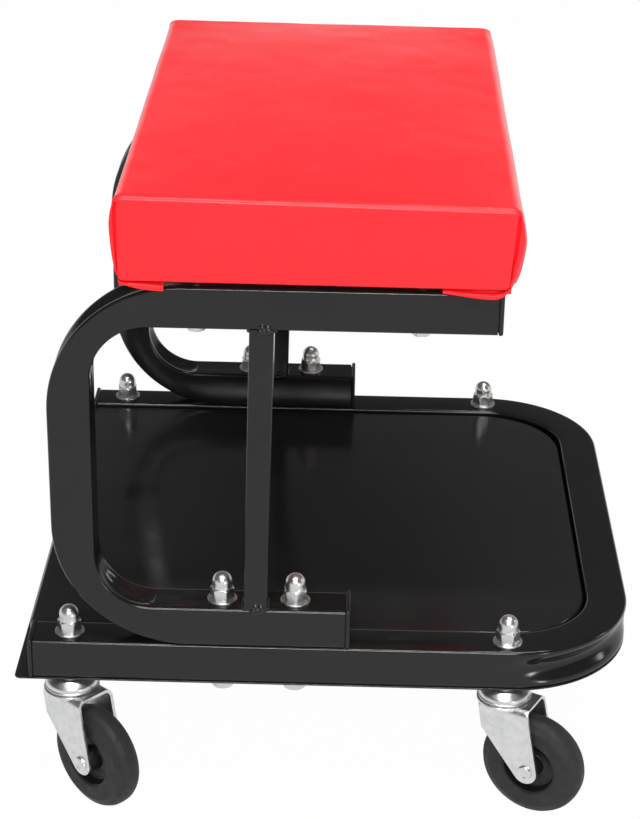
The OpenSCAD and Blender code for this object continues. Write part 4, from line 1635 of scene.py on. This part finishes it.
def ease(low: float, high: float, value: float) -> float:
    """Smooth step from 0 at low to 1 at high."""
    share = min(max((value - low) / (high - low), 0.0), 1.0)
    return share * share * (3 - 2 * share)


@dataclass(frozen=True)
class Level:
    """How the cover's outline runs at one height."""

    z: float
    inset: float = 0.0
    swell: float = 0.0
    bulges: Flat = (0.0, 0.0)
    gap: float = 0.0
    full: float = 0.0
    roll: float = 2.2


@dataclass
class Seat:
    """The padded seat: a tight vinyl cover with folded corners, its board and its staples."""

    stack: Stack
    mid_x: float = -8.5
    half_x: float = 109.0
    half_y: float = 184.5
    height: float = 48.5
    crown: float = 4.0
    edge_r: float = 3.6
    under_r: float = 2.2
    end_swell: float = 1.6
    fold_depth: float = 3.4
    lip_back: float = 0.35
    hem_w: float = 32.0
    recess: float = 1.7
    lean: float = 3.2
    top_tilt: tuple[float, float, float, float] = (2.0, -1.3, 1.0, -0.7)
    under_tilt: Flat = (0.4, -0.3)
    left_bulge: tuple[Flat, ...] = (
        (0.5, 0.4), (8.0, 1.9), (15.0, 3.0), (22.0, 3.7), (31.0, 4.3), (38.5, 3.5), (44.5, 1.7),
        (48.5, 0.0),
    )
    right_bulge: tuple[Flat, ...] = (
        (0.5, 0.4), (9.0, 3.4), (20.0, 5.2), (27.5, 5.7), (35.0, 4.8), (41.0, 3.3), (45.0, 1.6),
        (48.5, 0.0),
    )
    gap_w: tuple[Flat, ...] = (
        (1.0, 0.2), (8.0, 0.7), (15.0, 1.1), (22.0, 1.5), (31.0, 1.8), (39.0, 1.9), (44.0, 1.2),
        (48.5, 0.1),
    )
    left_flap: tuple[Triple, ...] = (
        (0.1, 3.5, 4.0), (2.5, 2.2, 3.1), (6.9, 0.5, 2.8), (15.1, -1.1, 2.3), (23.3, -1.7, 1.6),
        (25.0, -1.6, 1.5),
    )
    right_flap: tuple[Triple, ...] = (
        (1.9, 4.3, 4.7), (2.9, 2.7, 4.0), (4.3, 0.9, 2.9), (6.2, -0.9, 1.4), (8.2, -1.8, 0.8),
        (11.2, -2.4, 0.4), (19.1, -2.1, 0.7), (30.1, -0.6, 1.4), (39.5, 0.7, 2.3),
    )
    flap_t: float = 2.5
    flap_reach: float = 27.0
    flap_steps: int = 32
    panel_steps: int = 26
    side_steps: int = 44
    levels: int = 30
    hem_roll: float = 6.0
    staple_inset: float = 20.0
    staple_step: float = 30.0
    staple_wire_r: float = 0.35
    staple_spread: float = 9.0

    def corner(self, bulge: float, level: Level) -> list[Flat]:
        """Points round one upright corner, from the end panel into the fold and out to the side.

        Args:
            bulge: How far the side stands outside the plan.
            level: The height's other sizes.

        Returns:
            How far each point stands outside the side's plan, and behind the end's plan.
        """
        gap = min(level.gap, bulge * 0.6)
        tip, deep = max(bulge - gap, 0.2) / 2, self.fold_depth
        pleat = [(-0.5, 0.0), (-0.14, 0.1), (0.0, 0.5), (0.02, deep * 0.5)]
        pleat += [(gap * 0.2, deep * 0.9), (gap * 0.5, deep), (gap * 0.8, deep * 0.9)]
        pleat.append((gap - 0.02, deep * 0.5))
        for step in range(7):
            angle = math.pi * step / 6
            out, back = tip * (1 - math.cos(angle)), tip * (1 - math.sin(angle))
            pleat.append((gap + out, self.lip_back + back))
        points = []
        for (out, back), (c, s) in zip(pleat, quarter(len(pleat) - 1)):
            plain_out, plain_back = (level.roll + bulge) * s - level.roll, level.roll * (1 - c)
            shift = ((out - plain_out) * level.full, (back - plain_back) * level.full)
            points.append((plain_out + shift[0], plain_back + shift[1]))
        return points

    def plan(self, level: Level) -> list[list[Flat]]:
        """Outline of the seat at one level, as its front, right, rear and left sides.

        Args:
            level: The height's sizes.

        Returns:
            The sides' points, anticlockwise; each side ends where the next one starts.
        """
        hx, hy = self.half_x - level.inset, self.half_y - level.inset
        left, right = (self.corner(bulge, level) for bulge in level.bulges)
        split = len(left) // 2
        start, end = -hx - left[0][0], hx + right[0][0]

        def shares(steps: int) -> list[float]:
            """Numbers from -1 to 1, without the ends, that lie closer together near them."""
            return [-math.cos(math.pi * step / (2 * steps)) for step in range(1, 2 * steps)]

        def side(corner: Sequence[Flat], way: int) -> list[Flat]:
            """One long side, from its front corner to its rear one."""
            near = [(way * (hx + out), back - hy) for out, back in corner[split:]]
            x, y = near[-1]
            run = [(x, -y * share) for share in shares(self.side_steps)]
            return near + run + [(px, -py) for px, py in reversed(near)]

        front = [(-hx - out, back - hy) for out, back in reversed(left[: split + 1])]
        for share in shares(self.panel_steps):
            swell = self.end_swell * level.swell * (1 - share**6)
            front.append(((start + end) / 2 + share * (end - start) / 2, -hy - swell))
        front += [(hx + out, back - hy) for out, back in right[: split + 1]]
        rear = [(x, -y) for x, y in reversed(front)]
        return [front, side(right, 1), rear, list(reversed(side(left, -1)))]

    def ring(self, level: Level) -> list[Vector]:
        """One closed ring from the four sides at a height."""
        sides = self.plan(level)
        return [Vector((x + self.mid_x, y, level.z)) for side in sides for x, y in side[:-1]]

    def bulges(self, height: float) -> Flat:
        """How far the left and the right side stand out at a height over the underside."""
        return curve_at(self.left_bulge, height), curve_at(self.right_bulge, height)

    def form(self) -> Shape:
        """The cover's closed form, with a shallow recess under the board."""
        low = self.stack.seat_z
        high = low + self.height
        side_low, side_high = low + self.under_r, high - self.edge_r
        hem = {"inset": self.hem_w, "roll": self.hem_roll}
        levels = [Level(low + self.recess, **hem), Level(low, **hem)]
        for c, s in reversed(quarter(4)):
            levels.append(Level(side_low - self.under_r * s, self.under_r * (1 - c)))
        for step in range(1, self.levels):
            share = 1 - (1 - step / self.levels) ** 1.25
            z = side_low + (side_high - side_low) * share
            full = ease(0.0, 3.5, z - side_low) * ease(0.0, 3.2, side_high - z + 0.6)
            swell = math.sin(math.pi * share) ** 0.7
            gap = curve_at(self.gap_w, z - low)
            levels.append(Level(z, 0.0, swell, self.bulges(z - low), gap, full))
        for step, (c, s) in enumerate(quarter(6)):
            z, inset = side_high + self.edge_r * s, self.edge_r * (1 - c)
            levels.append(Level(z, inset, bulges=self.bulges(z - low), roll=2.2 + 0.2 * step))
        points, faces = lofted([self.ring(level) for level in levels], closed_ends=False)
        faces.append(tuple(reversed(range(len(points) // len(levels)))))
        return together([(points, faces), self.top_patch(self.plan(levels[-1]), high)])

    def top_patch(self, sides: Sequence[Sequence[Flat]], z: float) -> Shape:
        """Crowned top that fits the topmost ring.

        Args:
            sides: The topmost ring as four sides.
            z: Its height.

        Returns:
            The points and faces of the patch.
        """
        front, right = sides[0], sides[1]
        rear, left = list(reversed(sides[2])), list(reversed(sides[3]))
        nx, ny = len(front) - 1, len(right) - 1
        hx, hy = front[-1][0], right[-1][1]
        wide, deep = right[ny // 2][0], -front[nx // 2][1]

        def between(axis: int, i: int, j: int, u: float, v: float) -> float:
            """One coordinate of a point between the four sides."""
            ends = (1 - v) * front[i][axis] + v * rear[i][axis]
            flanks = (1 - u) * left[j][axis] + u * right[j][axis]
            near = (1 - u) * front[0][axis] + u * front[-1][axis]
            far = (1 - u) * rear[0][axis] + u * rear[-1][axis]
            return ends + flanks - (1 - v) * near - v * far

        points = []
        for j in range(ny + 1):
            for i in range(nx + 1):
                u = min(max((front[i][0] + hx) / (2 * hx), 0.0), 1.0)
                v = min(max((right[j][1] + hy) / (2 * hy), 0.0), 1.0)
                x, y = (between(axis, i, j, u, v) for axis in (0, 1))
                rise = max(1 - abs(x / wide) ** 2.6, 0) * max(1 - abs(y / deep) ** 2.6, 0)
                points.append(Vector((x + self.mid_x, y, z + self.crown * rise)))
        starts = [j * (nx + 1) + i for j in range(ny) for i in range(nx)]
        return points, [(a, a + 1, a + nx + 2, a + nx + 1) for a in starts]

    def flap(self, table: Sequence[Triple], edge_x: float, way: int, side: int) -> Shape:
        """A fold of the cover that lies on an arm and hangs a little over its face.

        Args:
            table: Distance from the seat's side, lower edge and upper edge of each station, the
                heights from the arm's top.
            edge_x: Plan edge of the seat that it starts from.
            way: 1 if it runs towards +X, -1 if it runs towards -X.
            side: -1 at the front, 1 at the rear.

        Returns:
            The points and faces.
        """
        top, face = self.stack.leg_top, self.stack.base_w / 2
        inner, lid = face - self.flap_reach, top + self.stack.fold_t
        lows, highs = [(d, low) for d, low, _ in table], [(d, high) for d, _, high in table]
        start, end = table[0][0], table[-1][0]
        rings = []
        for step in range(self.flap_steps + 1):
            along = start + (end - start) * step / self.flap_steps
            low, high = top + curve_at(lows, along), top + curve_at(highs, along)
            tall = high - low
            out = face + 0.4 + self.flap_t * (0.8 + 0.2 * ease(start, start + 7.0, along))
            under = [
                (inner, top + 1.6, 0), (inner, top + 0.12, 0.2), (face - 0.5, top + 0.12, 0.2),
                (face + 0.45, low, min(0.3, 0.25 * tall)),
            ]
            edge = [(out, low, min(0.95, 0.42 * tall)), (out, high, min(0.6, 0.3 * tall))]
            over = [
                (out - 5.0, high + 0.15, 0.2), (out - 5.6, max(top + 3.15, high + 0.3), 0.2),
                (inner, lid - 0.1, 0.2), (inner, top + 1.9, 0),
            ]
            loop = fillet_profile(under + edge + over, 4)
            rings.append([Vector((edge_x + way * along, side * y, z)) for y, z in loop])
        return lofted(rings)

    def settle(self, obj: MeshObject) -> None:
        """Tilts and leans the cover as it sits, and moves its points a little off dead straight."""
        low = self.stack.seat_z

        def mix(first: float, second: float, share: float) -> float:
            """A number between two others."""
            return first + (second - first) * share

        for vertex in obj.data.vertices:
            p = vertex.co / MM
            u = (p.x - self.mid_x) / (2 * self.half_x) + 0.5
            v = p.y / (2 * self.half_y) + 0.5
            to_side, to_end = 2 * u - 1, abs(2 * v - 1)
            up = min(max((p.z - low) / self.height, 0.0), 1.0)
            near, far = mix(*self.top_tilt[:2], u), mix(*self.top_tilt[2:], u)
            lift = mix(near, far, v) * up + mix(*self.under_tilt, u) * (1 - up)
            broad = noise.noise(Vector((p.x / 62, p.y / 62, p.z / 40 + 3.1)))
            fine = noise.noise(Vector((p.x / 15, p.y / 19, p.z / 26 + 8.7)))
            edge = 1 - ease(0.0, 24.0, low + self.height - p.z)
            skin = ease(0.0, 6.0, p.z - low)
            vertex.co += vertex.normal * (0.4 * broad + 0.2 * fine * edge) * skin * MM
            ear = ease(0.86, 1.0, abs(to_side)) * ease(0.95, 1.0, to_end) * ease(0.86, 0.96, up)
            # The foot leans under the seat in full only at the ends, where the board is round
            lean = self.lean * (0.2 + 0.8 * ease(0.972, 0.992, to_end))
            shift = 0.9 * ear * (1 if u > 0.5 else -1) - lean * (1 - up) * max(to_side, 0.0)
            vertex.co += Vector((shift, 0, lift)) * MM

    def build(self, dresser: Dresser) -> None:
        """Builds and dresses the seat."""
        cushion = make_object("seat_cushion", self.form(), SOFT_ANGLE)
        self.settle(cushion)
        flaps = []
        for side in (-1, 1):
            flaps.append(self.flap(self.left_flap, self.mid_x - self.half_x, 1, side))
            flaps.append(self.flap(self.right_flap, self.mid_x + self.half_x, -1, side))
        join([cushion, make_object("seat_flaps", together(flaps), math.radians(50))])
        cushion.data.polygons.foreach_set("use_smooth", [True] * len(cushion.data.polygons))
        cushion.data.set_sharp_from_angle(angle=SOFT_ANGLE)
        dresser.dress(cushion, Finish.VINYL, "frame", ["seat_cover", "seat_foam"])
        dresser.carry("seat_board", Finish.WOOD)
        dresser.carry("seat_tee_nuts", Finish.ZINC)
        self.staples(dresser)

    def staples(self, dresser: Dresser) -> None:
        """Staples the cover's hem to the board, between the legs."""
        r = self.staple_wire_r
        z = self.stack.seat_z - r
        sides = self.plan(Level(z, self.staple_inset, roll=self.hem_roll))
        reach = self.stack.rails[1] - self.stack.tube_w / 2 - 6
        points: list[Triple] = []
        for x in (sides[1][0][0] + 2.0, sides[3][0][0] - 2.0):
            points += [(self.mid_x + x, -reach, z), (self.mid_x + x, reach, z)]
        wire = fillet_profile([(-5.0, 1.1, 0), (-5.0, 0.0, 0.5), (5.0, 0.0, 0.5), (5.0, 1.1, 0)], 4)
        rings = [[Vector((x, a, mid + b)) for a, b in circle(r, 8)] for x, mid in wire]
        part = make_object("staple_one", lofted(rings))
        obj = points_object("hem_staples", points, [(0, 1), (2, 3)])
        step, spread = self.staple_step * MM, math.radians(self.staple_spread)
        material = dresser.paint(Finish.ZINC)
        stapled_hem_tree().run(obj, part=part, step=step, spread=spread, seed=11, material=material)
        remove_helper(part)
        dresser.dress(obj, Finish.ZINC, "frame")


# Studio


@dataclass(frozen=True)
class Softbox:
    """An area lamp: its place and its size in metres, and its power in watts."""

    name: str
    place: Triple
    size: Flat
    power: float

    def light(self, target: Triple) -> None:
        """Adds the lamp, facing a point."""
        data = bpy.data.lights.new(self.name, "AREA")
        data.shape = "RECTANGLE"
        data.size, data.size_y = self.size
        data.energy = self.power
        obj = bpy.data.objects.new(self.name, data)
        obj.location = self.place
        away = Vector(target) - Vector(self.place)
        obj.rotation_euler = away.to_track_quat("-Z", "Y").to_euler()
        bpy.context.scene.collection.objects.link(obj)


@dataclass
class Studio:
    """Pale floor, soft light and the camera."""

    place: Triple = (12.85, -1293.6, 787.9)
    turn: Triple = (-0.4378, -0.0164, 0.0163)
    lens: float = 95.76
    floor_reach: float = 9000.0
    floor_color: tuple[float, ...] = (0.8, 0.8, 0.8, 1.0)
    floor_glow: float = 0.985
    target: Triple = (0.0, 0.0, 0.2)
    lamps: tuple[Softbox, ...] = (
        Softbox("key_strip", (0.0, -0.8, 2.0), (0.95, 0.14), 23.0),
        Softbox("front_strip", (0.0, -2.2, 1.55), (0.95, 0.2), 34.0),
        Softbox("right_softbox", (1.3, -1.9, 0.22), (0.2, 0.4), 5.0),
        Softbox("side_strip", (2.1, 0.2, 1.0), (0.2, 0.7), 3.5),
        Softbox("top_strip", (0.45, 0.4, 2.1), (0.9, 0.14), 12.0),
    )

    def camera(self) -> None:
        """Makes the camera at the photograph's angle."""
        pitch, roll, yaw = (Matrix.Rotation(a, 3, axis) for a, axis in zip(self.turn, "XYZ"))
        right, ahead, up = (yaw @ pitch @ roll).col
        data = bpy.data.cameras.new("studio_camera")
        data.lens = self.lens
        data.sensor_width = 36.0
        data.clip_start = 0.05
        obj = bpy.data.objects.new("studio_camera", data)
        rows = [(right[k], up[k], -ahead[k], self.place[k] * MM) for k in range(3)]
        obj.matrix_world = Matrix((*rows, (0, 0, 0, 1)))
        bpy.context.scene.collection.objects.link(obj)
        bpy.context.scene.camera = obj

    def floor(self) -> None:
        """Makes the pale floor, which shows as white and keeps a soft shadow."""
        corners = ((-1, -1), (1, -1), (1, 1), (-1, 1))
        points = [Vector((x * self.floor_reach, y * self.floor_reach, 0)) for x, y in corners]
        obj = make_object("studio_floor", (points, [(0, 1, 2, 3)]))
        material = bpy.data.materials.new("studio_floor")
        material.use_nodes = True
        material.node_tree.nodes.clear()
        graph = Nodes(material.node_tree)
        rays = graph.add("LightPath").outputs
        seen = rays["Is Camera Ray"]
        for ray in ("Is Glossy Ray", "Is Transmission Ray"):
            seen = graph.add("Math", {0: seen, 1: rays[ray]}, operation="MAXIMUM").outputs[0]
        share = graph.add("Math", {0: seen, 1: self.floor_glow}, operation="MULTIPLY").outputs[0]
        matt = graph.add("BsdfDiffuse", {"Color": self.floor_color}).outputs[0]
        white = graph.add("Emission").outputs[0]
        mix = graph.add("MixShader", {0: share, 1: matt, 2: white}).outputs[0]
        graph.add("OutputMaterial", {"Surface": mix})
        obj.data.materials.append(material)

    def world(self) -> None:
        """Makes a plain world that is white at the horizon and dark overhead."""
        world = bpy.data.worlds.new("studio_world")
        world.use_nodes = True
        world.node_tree.nodes.clear()
        graph = Nodes(world.node_tree)
        ray = graph.add("TexCoord").outputs["Generated"]
        up = graph.add("SeparateXYZ", {"Vector": ray}).outputs["Z"]
        inputs = {"Value": up, "From Min": 0.06, "From Max": 0.28, "To Min": 1.0, "To Max": 0.12}
        shade = graph.add("MapRange", inputs, interpolation_type="SMOOTHSTEP").outputs[0]
        back = graph.add("Background", {"Color": shade, "Strength": 1.0}).outputs[0]
        graph.add("OutputWorld", {"Surface": back})
        bpy.context.scene.world = world

    def build(self) -> None:
        """Sets up the scene round the object."""
        self.camera()
        self.floor()
        self.world()
        for lamp in self.lamps:
            lamp.light(self.target)
        bpy.context.scene.view_settings.view_transform = "Standard"


def main() -> None:
    """Builds the sub-assemblies in order and reports them."""
    logging.basicConfig(level=logging.INFO, format="%(name)s %(message)s")
    stack = Stack()
    dresser = Dresser()
    Studio().build()
    TubeFrame(stack).build(dresser)
    ToolTray(stack).build(dresser)
    Fasteners(stack).build(dresser)
    spots = [(side, y, x) for side, y in zip(FRONT_REAR, stack.rails) for x in stack.stem_xs]
    for index, (side, y, x) in enumerate(spots):
        name = f"{side}_{('left', 'right')[index % 2]}"
        SwivelCaster(CornerPlace(name, x, y, stack.stem_turns[index])).build(dresser)
    Seat(stack).build(dresser)
    LOG.info("%d pieces made", dresser.count)


if __name__ == "__main__":
    main()
